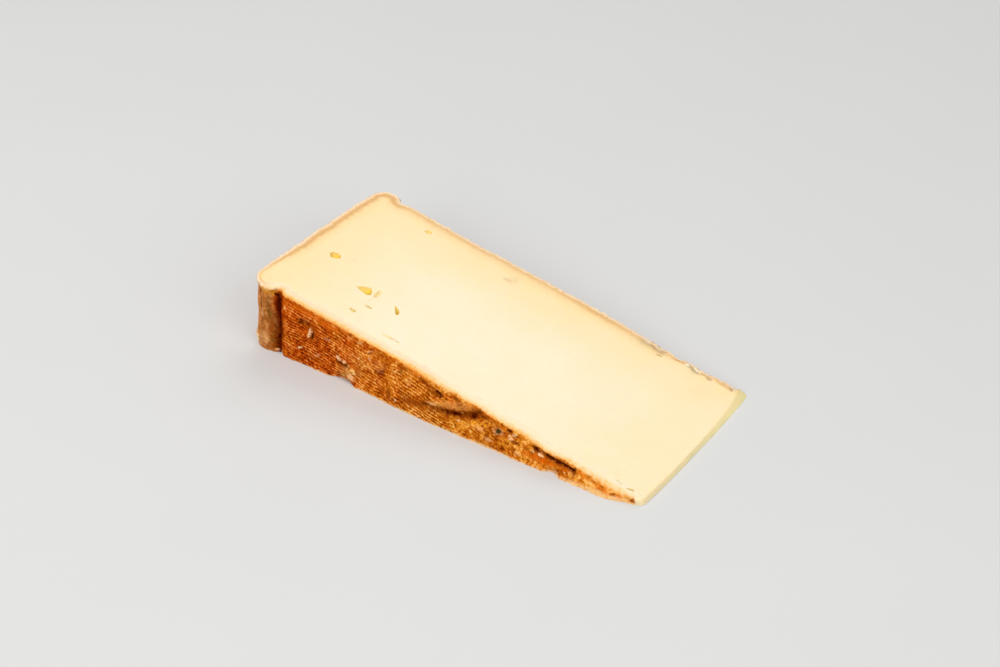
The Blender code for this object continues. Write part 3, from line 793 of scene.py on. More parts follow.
    def relief(self, depth: Array, side: Array, turn: Array, stretch: Array) -> tuple[Array, Array]:
        """How far the rind stands out at each point: lumps, grit, crags, crumbs, the nub and the marks.

        Args:
            depth: Depth of each point from the rim.
            side: Side coordinate of each point.
            turn: Share of the turn from cut to cut.
            stretch: Which stretch of the outline it lies on.

        Returns:
            The push outwards, and the share of it that is loose crumbs.
        """
        form = self.form
        place = form.placed(depth, side, turn)
        height = form.thickness(depth) * turn
        below = form.thickness(depth) - height
        crumbs = self.crumbs(place, below, stretch)
        out = noise_at(place, form.lump_size) * form.lump_height
        out += noise_at(place, form.grit_size, (7.0, 3.0, 11.0)) * form.grit_height
        from_nub = np.stack([depth, side, height], axis=-1) - np.array(form.nub_place)
        out += form.nub_height * bell(np.linalg.norm(from_nub, axis=-1), form.nub_size)
        crags = noise_at(place, self.crag_size, (2.0, 9.0, 4.0))
        edge = 1 - ease(0.2 * MM, 2.5 * MM, np.minimum(height, below * 1.6))
        out += self.crag_height * crags * edge
        out += self.pock_height * noise_at(place, self.pock_size, (5.0, 1.0, 8.0))
        out += self.crumb_height * crumbs
        out += self.worn_height * form.worn_back(depth, side) * crags * bell(below, 1.6 * MM)
        front = stretch == Stretch.FRONT.value
        wobble = noise_at(place, 1.3 * MM, (1.0, 6.0, 2.0))
        for mark in MARKS:
            if mark.proud:
                out += front * mark.proud * MM * mark.share(depth, height, 0.4 * wobble)
        crease = bell(form.fold_distance(depth, height) + 0.25 * MM * wobble, 0.6 * MM)
        opened, away = form.split_share(depth, height)
        crease = crease * ease(*self.crease_grows, depth)
        split = opened * bell(away + 0.15 * MM * wobble, 0.5 * MM)
        out -= front * self.crease_depth * np.maximum(crease, split)
        return out, crumbs

    def points(self) -> WallPoints:
        """All the wall's points, with the relief pushed out along each section's own normal.

        Returns:
            The points' places and coordinates, a row for each level and a column for each step.
        """
        shares = [(k / self.levels, 0.0, 0.0) for k in range(self.levels + 1)]
        for k in range(1, self.round_levels + 1):
            angle = math.pi / 2 * k / self.round_levels
            shares.append((1.0, math.sin(angle), 1 - math.cos(angle)))
        rows = [self.outline(share, rise) for share, rise, _ in shares]
        depth, side, turn = (np.stack([row[k] for row in rows]) for k in range(3))
        inset = np.array([row[2] for row in shares])[:, None]
        stretch = np.broadcast_to(self.stretches(), depth.shape)
        rough = stretch != Stretch.TIP.value
        out, crumbs = self.relief(depth, side, turn, stretch)
        waves = noise_at(self.form.placed(depth, side, turn), self.knife_wave, (1.0, 8.0, 2.0))
        knife = self.knife_height * clamp(waves) * (1 - turn)
        push = np.where(rough, out, -knife) - inset * self.form.edge_round(depth)
        run = np.stack([depth, side])
        tangent = np.roll(run, -1, axis=2) - np.roll(run, 1, axis=2)
        tangent /= np.linalg.norm(tangent, axis=0)
        depth = depth + tangent[1] * push
        side = side - tangent[0] * push
        place = within_box(self.form.placed(depth, side, turn))
        gaps = np.linalg.norm(place[0] - np.roll(place[0], 1, axis=0), axis=-1)
        along = np.broadcast_to(np.cumsum(gaps), depth.shape)
        height = self.form.thickness(depth) * turn
        below = self.form.thickness(depth) - height
        return WallPoints(place, depth, side, turn, height, below, along, stretch, crumbs)

    def column_levels(self, points: WallPoints) -> list[Array]:
        """The levels that each column keeps: fewer where the wedge is thin.

        Args:
            points: The wall's points.

        Returns:
            The numbers of the levels kept, for each column.
        """
        kept = []
        rounded = np.arange(self.levels + 1, self.levels + self.round_levels + 1)
        for column in range(points.depth.shape[1]):
            step = self.steps[Stretch(int(points.stretch[0, column]))]
            parts = max(4, math.ceil(points.height[self.levels, column] / step))
            parts = min(parts, self.levels)
            wall = np.unique(np.round(np.linspace(0, self.levels, parts + 1)).astype(int))
            kept.append(np.concatenate([wall, rounded]))
        return kept

    @staticmethod
    def zipped(left: Array, right: Array, left_ids: Array, right_ids: Array) -> list[tuple[int, int, int]]:
        """Triangles between two columns that keep different levels, wound to face outwards.

        Args:
            left: The levels that the left column keeps.
            right: Those of the right column.
            left_ids: The numbers of the left column's points.
            right_ids: Those of the right column's points.

        Returns:
            The triangles, as point numbers.
        """
        faces = []
        a = b = 0
        while a < len(left) - 1 or b < len(right) - 1:
            up_left = b == len(right) - 1 or (a < len(left) - 1 and left[a + 1] <= right[b + 1])
            if up_left:
                faces.append((left_ids[a], right_ids[b], left_ids[a + 1]))
                a += 1
            else:
                faces.append((left_ids[a], right_ids[b], right_ids[b + 1]))
                b += 1
        return faces


@dataclass
class Cut:
    """A cut face, triangulated inside the wall's edge: finer by the rind and round the eyes."""

    form: WheelSector
    turn: float
    eyes: tuple[Eye, ...] = ()
    rims: tuple = ((0.35, 1), (0.8, 1), (1.35, 2), (2.0, 2), (2.8, 3), (3.8, 4), (5.0, 5))
    step: float = 1.6 * MM
    eye_rings: tuple[float, ...] = (0.25, 0.45, 0.62, 0.76, 0.87, 0.95, 1.0, 1.05, 1.15, 1.35, 1.7)

    def inside(self, points: Array, edge: Array) -> Array:
        """Whether each point lies inside the edge, by counting crossings.

        Args:
            points: Points to test, in depth and side.
            edge: The cut's edge, in depth and side.

        Returns:
            One truth value a point.
        """
        after = np.roll(edge, -1, axis=0)
        hits = np.zeros(len(points), dtype=int)
        for (x0, y0), (x1, y1) in zip(edge, after):
            spans = (y0 > points[:, 1]) != (y1 > points[:, 1])
            if y1 != y0:
                cross = x0 + (points[:, 1] - y0) * (x1 - x0) / (y1 - y0)
                hits += spans & (points[:, 0] < cross)
        return hits % 2 == 1

    @staticmethod
    def clearance(points: Array, edge: Array) -> Array:
        """The distance from each point to the nearest corner of the edge.

        Args:
            points: Points, in depth and side.
            edge: The edge's corners, likewise.

        Returns:
            One distance a point.
        """
        rows = []
        for start in range(0, len(points), 1000):
            block = points[start : start + 1000, None, :] - edge[None, :, :]
            rows.append(np.sqrt((block**2).sum(axis=2)).min(axis=1))
        return np.concatenate(rows) if rows else np.zeros(0)

    @staticmethod
    def eye_place(eye: Eye, points: Array) -> Array:
        """How far out each point lies in an eye: 0 at its middle, 1 at its rim."""
        away = points / MM - eye.middle
        return np.hypot(away[:, 0], away[:, 1]) / eye.radius(np.arctan2(away[:, 1], away[:, 0]))

    def scattered(self, edge: Array) -> Array:
        """The points inside the edge, in depth and side.

        Args:
            edge: The cut's own edge, in the same coordinates.

        Returns:
            One row a point.
        """
        tangent = np.roll(edge, -1, axis=0) - np.roll(edge, 1, axis=0)
        tangent /= np.linalg.norm(tangent, axis=1)[:, None]
        inward = np.stack([-tangent[:, 1], tangent[:, 0]], axis=1)
        rows = []
        for offset, every in self.rims:
            ring = (edge + inward * offset * MM)[::every]
            free = self.clearance(ring, edge) > 0.93 * offset * MM
            rows.append(ring[free & self.inside(ring, edge)])
        low, high = edge.min(axis=0), edge.max(axis=0)
        across = np.arange(low[1], high[1], self.step * math.sqrt(3) / 2)
        grid = []
        for k, side in enumerate(across):
            line = np.arange(low[0] + (k % 2) * self.step / 2, high[0], self.step)
            grid.append(np.stack([line, np.full(len(line), side)], axis=1))
        grid = np.concatenate(grid)
        clear = self.clearance(grid, edge) > (self.rims[-1][0] + 0.9) * MM
        rows.append(grid[clear & self.inside(grid, edge)])
        points = np.concatenate(rows)
        for eye in self.eyes:
            points = points[self.eye_place(eye, points) > self.eye_rings[-1] + 0.25]
        for eye in self.eyes:
            ring = self.eye_ring_points(eye)
            keep = self.inside(ring, edge) & (self.clearance(ring, edge) > 0.3 * MM)
            for other in self.eyes[: self.eyes.index(eye)]:
                keep &= self.eye_place(other, ring) > self.eye_rings[-1] + 0.1
            points = np.concatenate([points, ring[keep]])
        return points

    def eye_ring_points(self, eye: Eye) -> Array:
        """Rings of points round an eye, close together at its rim.

        Args:
            eye: The eye.

        Returns:
            One row a point, in depth and side.
        """
        made = [eye.middle[None, :]]
        for k, ring in enumerate(self.eye_rings):
            count = max(12, round(math.pi * eye.span * min(ring, 1.0) / 0.3))
            angle = 2 * math.pi * (np.arange(count) + 0.5 * (k % 2)) / count
            reach = ring * eye.radius((angle + math.pi) % (2 * math.pi) - math.pi)
            made.append(eye.middle + np.stack([reach * np.cos(angle), reach * np.sin(angle)], axis=1))
        return np.concatenate(made) * MM

    def triangles(self, edge: Array, inner: Array) -> tuple[Array, list[tuple[int, ...]]]:
        """Triangulates the cut.

        Args:
            edge: The cut's edge, in depth and side.
            inner: The points inside it.

        Returns:
            The points in the order that the triangles use, edge first, and the triangles.
        """
        points = np.concatenate([edge, inner])
        flat = [Vector(p) for p in points / MM]
        loop = [list(range(len(edge)))]
        verts, _, faces, origins, _, _ = geometry.delaunay_2d_cdt(flat, [], loop, 1, 1e-5)
        known = {k: old[0] for k, old in enumerate(origins) if old}
        extra = [k for k in range(len(verts)) if k not in known]
        for number, k in enumerate(extra):
            known[k] = len(points) + number
        added = np.array([verts[k][:] for k in extra]).reshape(-1, 2) * MM
        faces = [tuple(known[k] for k in face) for face in faces]
        return np.concatenate([points, added]), faces

    def hollow(self, points: Array) -> tuple[Array, Array, Array, Array]:
        """How deep each point sinks into an eye, how golden and green it is, and the painted shade on its far
        side.

        Args:
            points: Points on the cut, in depth and side.

        Returns:
            The sink in metres, and the three shares, one value a point each.
        """
        sink, glow, green, shade = np.zeros((4, len(points)))
        for eye in self.eyes:
            out = self.eye_place(eye, points)
            profile = np.sqrt(np.maximum(0.0, 1 - out**2))
            sink = np.maximum(sink, eye.deep * MM * profile)
            here = 1 - ease(0.85, 1.15, out)
            away = points / MM - eye.middle
            # Painted light and shade across each eye: paler towards one side, darker gold towards the other
            lean = (0.85 * away[:, 0] - 0.5 * away[:, 1]) / (0.5 * eye.span)
            glow = np.maximum(glow, eye.glow * here * (0.7 + 0.3 * ease(-0.8, 0.3, lean)))
            green = np.maximum(green, eye.green * here)
            shade = np.maximum(shade, 0.6 * eye.glow * here * ease(-0.2, 1.1, lean))
        return sink, glow, green, shade


class Wiring:
    """Adds nodes to a tree and joins them, giving plain values to sockets that need no link."""

    def __init__(self, tree: Tree) -> None:
        """Keeps the tree."""
        self.tree = tree

    def feed(self, socket: Socket, value: Any) -> None:
        """Links a socket to another, or sets its own value.

        Args:
            socket: The input.
            value: Another node's output, or a plain value.
        """
        if isinstance(value, Socket):
            self.tree.links.new(value, socket)
        elif isinstance(value, tuple) and len(value) == 3 and len(getattr(socket, "default_value", ())) == 4:
            socket.default_value = (*value, 1.0)
        else:
            socket.default_value = value

    def node(self, kind: str, inputs: dict | None = None, **settings: Any) -> bpy.types.Node:
        """Adds a node.

        Args:
            kind: The node's Blender type.
            inputs: Values or sockets, by the input's name or number.
            **settings: The node's own settings.

        Returns:
            The new node.
        """
        made = self.tree.nodes.new(kind)
        for name, value in settings.items():
            setattr(made, name, value)
        return self.fill(made, inputs or {})

    def fill(self, node: bpy.types.Node, inputs: dict) -> bpy.types.Node:
        """Gives a node its inputs, by the input's name or number.

        Args:
            node: The node.
            inputs: Values or sockets, by name or number.

        Returns:
            The same node.
        """
        for key, value in inputs.items():
            self.feed(node.inputs[key], value)
        return node

    def math(self, operation: str, *values: Any, clamp_it: bool = False) -> Socket:
        """A Math node's result."""
        inputs = dict(enumerate(values))
        return self.node("ShaderNodeMath", inputs, operation=operation, use_clamp=clamp_it).outputs[0]

    def plus(self, first: Any, second: Any, clamp_it: bool = False) -> Socket:
        """The sum of two numbers."""
        return self.math("ADD", first, second, clamp_it=clamp_it)

    def times(self, first: Any, second: Any) -> Socket:
        """The product of two numbers."""
        return self.math("MULTIPLY", first, second)

    def times_plus(self, first: Any, second: Any, added: Any) -> Socket:
        """The product of two numbers, with a third one added."""
        return self.math("MULTIPLY_ADD", first, second, added)

    def over(self, first: Any, second: Any, clamp_it: bool = False) -> Socket:
        """One number divided by another."""
        return self.math("DIVIDE", first, second, clamp_it=clamp_it)

    def centred(self, value: Socket) -> Socket:
        """A number between 0 and 1, moved to lie round 0."""
        return self.math("SUBTRACT", value, 0.5)

    def vector(self, operation: str, inputs: dict) -> Socket:
        """A Vector Math node's result."""
        return self.node("ShaderNodeVectorMath", inputs, operation=operation).outputs[0]

    def remap(self, value: Any, low: float, high: float, to_low: Any = 0.0, to_high: Any = 1.0) -> Socket:
        """Stretches low..high to to_low..to_high, clamped."""
        return self.node("ShaderNodeMapRange", {0: value, 1: low, 2: high, 3: to_low, 4: to_high}).outputs[0]

    def mix(self, share: Any, first: Any, second: Any, blend: str = "MIX") -> Socket:
        """Mixes two colours."""
        made = self.node("ShaderNodeMix", {0: share, 6: first, 7: second}, data_type="RGBA", blend_type=blend)
        return made.outputs[2]

    def ramp(self, value: Any, stops: tuple) -> Socket:
        """A colour ramp, from pairs of place and colour.

        Args:
            value: What the ramp reads.
            stops: Pairs of place and colour.

        Returns:
            The colour.
        """
        made = self.node("ShaderNodeValToRGB", {0: value})
        elements = made.color_ramp.elements
        while len(elements) < len(stops):
            elements.new(0.5)
        for element, (place, colour) in zip(elements, stops):
            element.position = place
            element.color = (*colour, 1.0)
        return made.outputs[0]

    def attribute(self, name: str) -> Socket:
        """A number that the mesh carries."""
        return self.node("ShaderNodeAttribute", attribute_name=name, attribute_type="GEOMETRY").outputs["Fac"]

    def millimetres(self) -> Socket:
        """The place on the piece, in millimetres."""
        where = self.node("ShaderNodeTexCoord").outputs["Object"]
        return self.vector("SCALE", {0: where, "Scale": 1000.0})

    def group(self, tree: Tree, inputs: dict) -> Socket:
        """Places a node group, and gives its first output."""
        return self.node("ShaderNodeGroup", inputs, node_tree=tree).outputs[0]


def new_group(name: str, inputs: dict[str, Any], outputs: dict[str, str]) -> tuple[Tree, Wiring, Any, Any]:
    """An empty shader node group.

    Args:
        name: The group's name.
        inputs: The default value of each input, by name; a vector where it is None.
        outputs: The socket type of each output, by name.

    Returns:
        The group, its wiring, and its input and output nodes.
    """
    tree = bpy.data.node_groups.new(name, "ShaderNodeTree")
    for key, value in inputs.items():
        number = "NodeSocketColor" if isinstance(value, tuple) else "NodeSocketFloat"
        kind = "NodeSocketVector" if value is None else number
        made = tree.interface.new_socket(key, in_out="INPUT", socket_type=kind)
        if value is not None:
            made.default_value = (*value, 1.0) if isinstance(value, tuple) else value
    for key, kind in outputs.items():
        tree.interface.new_socket(key, in_out="OUTPUT", socket_type=kind)
    wiring = Wiring(tree)
    return tree, wiring, wiring.node("NodeGroupInput"), wiring.node("NodeGroupOutput")


@dataclass(frozen=True)
class Mottle:
    """Soft uneven patches, as in any ripened cheese."""

    name: str = "ripening_mottle"

    def tree(self) -> Tree:
        """Builds the group: noise of a size in mm, stretched between two limits.

        Returns:
            The node group.
        """
        inputs = {"Place": None, "Size": 5.0, "Low": 0.3, "High": 0.7, "Shift": 0.0}
        tree, sheet, source, result = new_group(self.name, inputs, {"Patches": "NodeSocketFloat"})
        given = source.outputs
        moved = sheet.vector("ADD", {0: given["Place"], 1: given["Shift"]})
        inputs = {"Vector": moved, "Scale": sheet.over(1.0, given["Size"]), "Detail": 3.0, "Roughness": 0.6}
        cloud = sheet.node("ShaderNodeTexNoise", inputs).outputs["Fac"]
        sheet.feed(result.inputs["Patches"], sheet.remap(cloud, given["Low"], given["High"]))
        return tree


@dataclass(frozen=True)
class RimBand:
    """The rind seen in section: its colours by distance from the edge of the cut, in mm."""

    name: str = "rim_band"
    reach: float = 7.0
    # The skin's pale colours are the dried cut edge, and partly a painted highlight where that edge catches
    # the light
    skin_and_edge_highlight: Colour = (0.84, 0.66, 0.45)
    skin_highlight_to_tan: tuple = (
        (0.00, (0.85, 0.67, 0.45)),
        (0.05, (0.82, 0.59, 0.35)),
        (0.11, (0.77, 0.51, 0.26)),
        (0.18, (0.70, 0.42, 0.17)),
        (0.28, (0.66, 0.37, 0.125)),
        (0.39, (0.74, 0.46, 0.18)),
        (0.57, (0.84, 0.59, 0.28)),
    )
    peach: tuple = (
        (0.00, (0.88, 0.58, 0.27)),
        (0.08, (0.84, 0.635, 0.385)),
        (0.15, (0.80, 0.62, 0.39)),
        (0.24, (0.82, 0.65, 0.42)),
        (0.36, (0.87, 0.72, 0.49)),
    )
    cream: tuple = (
        (0.00, (0.87, 0.67, 0.40)),
        (0.08, (0.86, 0.68, 0.43)),
        (0.16, (0.86, 0.69, 0.45)),
        (0.30, (0.87, 0.73, 0.51)),
    )
    apricot: tuple = (
        (0.00, (0.80, 0.23, 0.018)),
        (0.35, (0.92, 0.42, 0.10)),
        (0.70, (0.94, 0.57, 0.25)),
        (1.00, (0.93, 0.66, 0.37)),
    )
    orange: tuple = (
        (0.00, (0.78, 0.19, 0.012)),
        (0.35, (0.90, 0.33, 0.05)),
        (0.70, (0.94, 0.49, 0.16)),
        (1.00, (0.94, 0.58, 0.25)),
    )

    def tree(self) -> Tree:
        """Builds the group: the distance is counted inwards on the cut and downwards on the wall.

        Returns:
            The node group.
        """
        inputs = {"Distance": 0.0, "Front": 0.0, "Band": 0.0, "Wobble": 0.0}
        inputs |= {"Paste": (0.8, 0.6, 0.4), "Rind": (0.5, 0.2, 0.05)}
        tree, sheet, source, result = new_group(self.name, inputs, {"Colour": "NodeSocketColor"})
        plain, wobble, band = (source.outputs[name] for name in ("Distance", "Wobble", "Band"))
        paste, rind = source.outputs["Paste"], source.outputs["Rind"]
        distance = sheet.times_plus(wobble, 0.9, plain)
        share = sheet.over(distance, self.reach, clamp_it=True)
        on_cut = sheet.math("GREATER_THAN", plain, 0.0)
        # On the front, the rind's section is a soft peach line
        line = sheet.mix(band, sheet.ramp(share, self.cream), sheet.ramp(share, self.peach))
        front_cut = sheet.mix(sheet.remap(distance, 1.6, 3.4), line, paste)
        fall = sheet.remap(distance, -1.6, 0.1)
        section = sheet.mix(band, sheet.ramp(fall, self.apricot), sheet.ramp(fall, self.orange))
        front_wall = sheet.mix(sheet.remap(distance, -1.75, -0.9), rind, section)
        # On the heel and the back, a pale outer skin, partly a painted highlight on the cut edge, a tan band
        # and a slow fade to the paste
        weaker = sheet.times(sheet.math("SUBTRACT", 1.0, band), sheet.remap(distance, 1.0, 2.2, 0.0, 0.45))
        fade = sheet.math("MAXIMUM", sheet.remap(distance, 2.3, 6.8), weaker)
        back_cut = sheet.mix(fade, sheet.ramp(share, self.skin_highlight_to_tan), paste)
        back_wall = sheet.mix(sheet.remap(distance, -1.1, -0.1), rind, self.skin_and_edge_highlight)
        front_colour = sheet.mix(on_cut, front_wall, front_cut)
        back_colour = sheet.mix(on_cut, back_wall, back_cut)
        sheet.feed(result.inputs["Colour"], sheet.mix(source.outputs["Front"], back_colour, front_colour))
        return tree


@dataclass(frozen=True)
class SharedGroups:
    """The node groups that more than one material uses."""

    mottle: Tree
    rim: Tree
    rim_traits: tuple = (("Distance", "rim"), ("Front", "front"), ("Band", "band"))

    def patches(self, sheet: Wiring, place: Socket, *values: float) -> Socket:
        """Soft patches between 0 and 1: their size in mm, the noise's low and high limit, and a shift."""
        given = dict(zip(("Size", "Low", "High", "Shift"), values))
        return sheet.group(self.mottle, given | {"Place": place})

    def rimmed(self, sheet: Wiring, wobble: Socket, paste: Any, rind: Any) -> Socket:
        """The colours of paste and rind, with the rind's section between them."""
        inputs = {name: sheet.attribute(trait) for name, trait in self.rim_traits}
        return sheet.group(self.rim, inputs | {"Wobble": wobble, "Paste": paste, "Rind": rind})


def new_material(name: str) -> tuple[bpy.types.Material, Wiring, bpy.types.Node]:
    """A new material, its wiring and its shader.

    Args:
        name: The material's name.

    Returns:
        The material, its wiring and its Principled shader.
    """
    made = bpy.data.materials.new(name)
    made.use_nodes = True
    return made, Wiring(made.node_tree), made.node_tree.nodes["Principled BSDF"]


@dataclass(frozen=True)
class PasteFinish:
    """The cut paste: ivory, more golden towards the rim, smooth and a little moist."""

    groups: SharedGroups
    ivory: Colour = (0.885, 0.745, 0.55)
    golden: Colour = (0.875, 0.66, 0.344)
    eye_gold: Colour = (0.82, 0.56, 0.035)
    eye_green: Colour = (0.28, 0.24, 0.09)
    tip_yellow: Colour = (0.93, 0.75, 0.38)
    # Umber is brown marks by the back edge, and also the painted shade on the far side of each eye
    umber: Colour = (0.42, 0.17, 0.035)
    stain: Colour = (0.07, 0.04, 0.02)
    olive: Colour = (0.50, 0.46, 0.17)
    pale: Colour = (0.86, 0.74, 0.60)
    chalk: Colour = (0.93, 0.84, 0.66)
    drag: Colour = (0.60, 0.52, 0.28)
    drag_at: float = 2.3
    roughness: float = 0.42

    def material(self) -> bpy.types.Material:
        """Builds the material.

        Returns:
            The material of the cut faces and the tip.
        """
        made, sheet, shader = new_material("cheese_paste")
        place = sheet.millimetres()
        apart = sheet.node("ShaderNodeSeparateXYZ", {0: place}).outputs
        mottle = partial(self.groups.patches, sheet, place)
        to_heel = sheet.remap(apart["X"], -30.0, -80.0)
        to_back = sheet.remap(apart["Y"], 0.0, 36.0)
        to_tip = sheet.remap(apart["X"], 35.0, 80.0, 0.0, 0.5)
        gold = sheet.math("MAXIMUM", sheet.math("MAXIMUM", to_heel, to_back), to_tip)
        gold = sheet.times_plus(mottle(22.0, 0.3, 0.7, 3.0), 0.25, sheet.times(gold, 0.85))
        colour = sheet.mix(sheet.math("MINIMUM", gold, 1.0), self.ivory, self.golden)
        colour = sheet.mix(sheet.times(mottle(2.5, 0.35, 0.65, 9.0), 0.10), colour, self.golden)
        wobble = sheet.centred(mottle(1.8, 0.3, 0.7, 5.0))
        colour = self.groups.rimmed(sheet, wobble, colour, (0.6, 0.3, 0.1))
        from_rim = sheet.times_plus(wobble, 0.7, sheet.attribute("rim"))
        from_drag = sheet.math("SUBTRACT", from_rim, self.drag_at)
        drag = sheet.remap(sheet.math("ABSOLUTE", from_drag), 0.05, 0.35, 0.5, 0.0)
        drag = sheet.times(drag, sheet.attribute("front"))
        colour = sheet.mix(sheet.times(drag, mottle(4.5, 0.42, 0.62, 21.0)), colour, self.drag)
        colour = sheet.mix(sheet.attribute("tip"), colour, self.tip_yellow)
        tints = {"glow": self.eye_gold, "green": self.eye_green, "umber": self.umber, "olive": self.olive}
        tints |= {"pale": self.pale, "stain": self.stain, "chalk": self.chalk}
        for trait, tint in tints.items():
            colour = sheet.mix(sheet.attribute(trait), colour, tint)
        moist = mottle(4.0, 0.3, 0.7, 1.0)
        bump = {"Height": mottle(1.6, 0.2, 0.8, 2.0), "Strength": 0.12, "Distance": 0.0003}
        sheet.fill(
            shader,
            {
                "Base Color": colour,
                "Roughness": sheet.remap(moist, 0.0, 1.0, self.roughness, self.roughness + 0.14),
                "Normal": sheet.node("ShaderNodeBump", bump).outputs[0],
                "Subsurface Weight": 0.3,
                "Subsurface Radius": (1.0, 0.55, 0.22),
                "Subsurface Scale": 0.002,
                "Specular IOR Level": 0.35,
            },
        )
        return made


@dataclass(frozen=True)
class RindFinish:
    """The washed rind: orange-brown, marked by cloth, moist in places, with stains and flecks, painted
    highlights on its threads and lip, and painted shade in its creases.
    """

    groups: SharedGroups
    heel_shade: tuple = (
        (0.00, (0.070, 0.003, 0.0)),
        (0.15, (0.17, 0.012, 0.0)),
        (0.32, (0.34, 0.036, 0.0)),
        (0.50, (0.50, 0.074, 0.001)),
        (0.68, (0.66, 0.130, 0.006)),
        (0.84, (0.82, 0.225, 0.030)),
        (1.00, (0.94, 0.400, 0.11)),
    )
    tip_shade: tuple = (
        (0.00, (0.09, 0.008, 0.0)),
        (0.15, (0.20, 0.030, 0.0)),
        (0.32, (0.38, 0.075, 0.001)),
        (0.50, (0.54, 0.137, 0.005)),
        (0.68, (0.70, 0.230, 0.016)),
        (0.84, (0.85, 0.350, 0.052)),
        (1.00, (0.95, 0.540, 0.15)),
    )
    lightness: float = 0.53
    drift: tuple = ((-60, -40, 0.04), (-20, -8, 0.02), (5, 28, -0.11), (31, 46, 0.20), (48, 65, 0.08))
    strip: tuple = (
        (0.15, (0.30, 0.085, 0.012)),
        (0.50, (0.54, 0.20, 0.046)),
        (0.85, (0.78, 0.38, 0.15)),
    )
    vivid: Colour = (0.78, 0.15, 0.004)
    deep_red: Colour = (0.28, 0.030, 0.002)
    # Stain is the rind's dark spots, and also the painted shade in the crease, the split and the groove
    stain: Colour = (0.060, 0.003, 0.0)
    # Umber is brown patches and wear of the rind, and also the painted shade along the fold
    umber: Colour = (0.30, 0.062, 0.002)
    pale: Colour = (0.93, 0.52, 0.235)
    mould: Colour = (0.86, 0.50, 0.15)
    olive: Colour = (0.17, 0.078, 0.008)
    # Painted glow of light shining through the rind
    glow: Colour = (0.90, 0.34, 0.024)
    ember: Colour = (0.74, 0.13, 0.002)
    blush: Colour = (0.72, 0.27, 0.055)
    # Painted highlight on the lower lip
    lip_highlight: Colour = (0.84, 0.50, 0.20)
    chalk: Colour = (0.93, 0.74, 0.46)
    ink: Colour = (0.034, 0.028, 0.008)
    bare: Colour = (0.90, 0.80, 0.54)

    def material(self) -> bpy.types.Material:
        """Builds the material.

        Returns:
            The material of the rind.
        """
        made, sheet, shader = new_material("cheese_rind")
        place = sheet.millimetres()
        x = sheet.node("ShaderNodeSeparateXYZ", {0: place}).outputs["X"]
        mottle = partial(self.groups.patches, sheet, place)
        big, mid = mottle(8.0, 0.34, 0.66, 0.0), mottle(2.4, 0.32, 0.68, 4.0)
        small, fine = mottle(1.05, 0.36, 0.64, 8.0), mottle(0.5, 0.32, 0.68, 15.0)
        tone = self.tone(sheet, x, ((big, 0.26), (mid, 0.34), (small, 0.32), (fine, 0.16)))
        hue = sheet.times_plus(sheet.centred(mottle(6.0, 0.35, 0.65, 18.0)), 0.6, sheet.remap(x, -55.0, 0.0))
        colour = sheet.mix(hue, sheet.ramp(tone, self.heel_shade), sheet.ramp(tone, self.tip_shade))
        ragged = sheet.centred(sheet.times_plus(small, 0.55, sheet.times(fine, 0.45)))

        def marked(trait: str, rough: float) -> Socket:
            """A mark's share, eaten into by the mottle."""
            share = sheet.attribute(trait)
            return sheet.plus(share, sheet.times(ragged, sheet.times(share, 2 * rough)), clamp_it=True)

        banded = sheet.times_plus(big, 0.4, sheet.times_plus(mid, 0.4, sheet.times(small, 0.2)))
        banded = sheet.plus(banded, sheet.remap(x, -82.5, -80.0, 0.2, -0.05))
        colour = sheet.mix(sheet.times(sheet.attribute("strip"), 0.9), colour, sheet.ramp(banded, self.strip))
        colour = sheet.mix(marked("blush", 0.9), colour, self.blush)
        # Painted highlight along the lower lip
        colour = sheet.mix(marked("lip_highlight", 0.7), colour, self.lip_highlight)
        colour = self.edge_line(sheet, x, mottle(3.0, 0.35, 0.6, 6.0), small, colour)
        tints = {"ember": 1.0, "olive": 0.9, "umber": 1.0, "glow": 1.2, "mould": 0.9}
        tints |= {"stain": 0.6, "pale": 0.6, "chalk": 0.5, "ink": 0.3}
        for trait, rough in tints.items():
            colour = sheet.mix(marked(trait, rough), colour, getattr(self, trait))
        wobble = sheet.centred(mottle(1.8, 0.3, 0.7, 5.0))
        wobble = sheet.times_plus(sheet.centred(mottle(0.75, 0.3, 0.7, 25.0)), 0.7, wobble)
        colour = sheet.mix(sheet.attribute("tip"), colour, self.bare)
        colour = self.groups.rimmed(sheet, wobble, (0.86, 0.75, 0.5), colour)
        near_edge = sheet.remap(sheet.attribute("rim"), -2.4, -1.6, 0.0, 0.7)
        for trait in ("umber", "chalk"):
            colour = sheet.mix(sheet.times(marked(trait, 0.8), near_edge), colour, getattr(self, trait))
        wet = mottle(1.4, 0.45, 0.7, 12.0)
        bump = {"Height": sheet.times_plus(fine, 0.5, small), "Strength": 0.6, "Distance": 0.0003}
        sheet.fill(
            shader,
            {
                "Base Color": colour,
                "Roughness": sheet.remap(wet, 0.0, 1.0, 0.60, 0.30),
                "Normal": sheet.node("ShaderNodeBump", bump).outputs[0],
                "Subsurface Weight": 0.04,
                "Subsurface Radius": (1.0, 0.4, 0.12),
                "Subsurface Scale": 0.001,
                "Specular IOR Level": 0.01,
            },
        )
        return made

    def tone(self, sheet: Wiring, x: Socket, mottles: tuple[tuple[Socket, float], ...]) -> Socket:
        """How light the rind is, from painted highlights on the weave's threads and painted shade between
        them, the mottles by weight, and the place along the wedge.

        Args:
            sheet: The wiring of the tree that it is added to.
            x: The place along the wedge.
            mottles: Pairs of a mottle and its weight.

        Returns:
            The lightness, as a factor.
        """
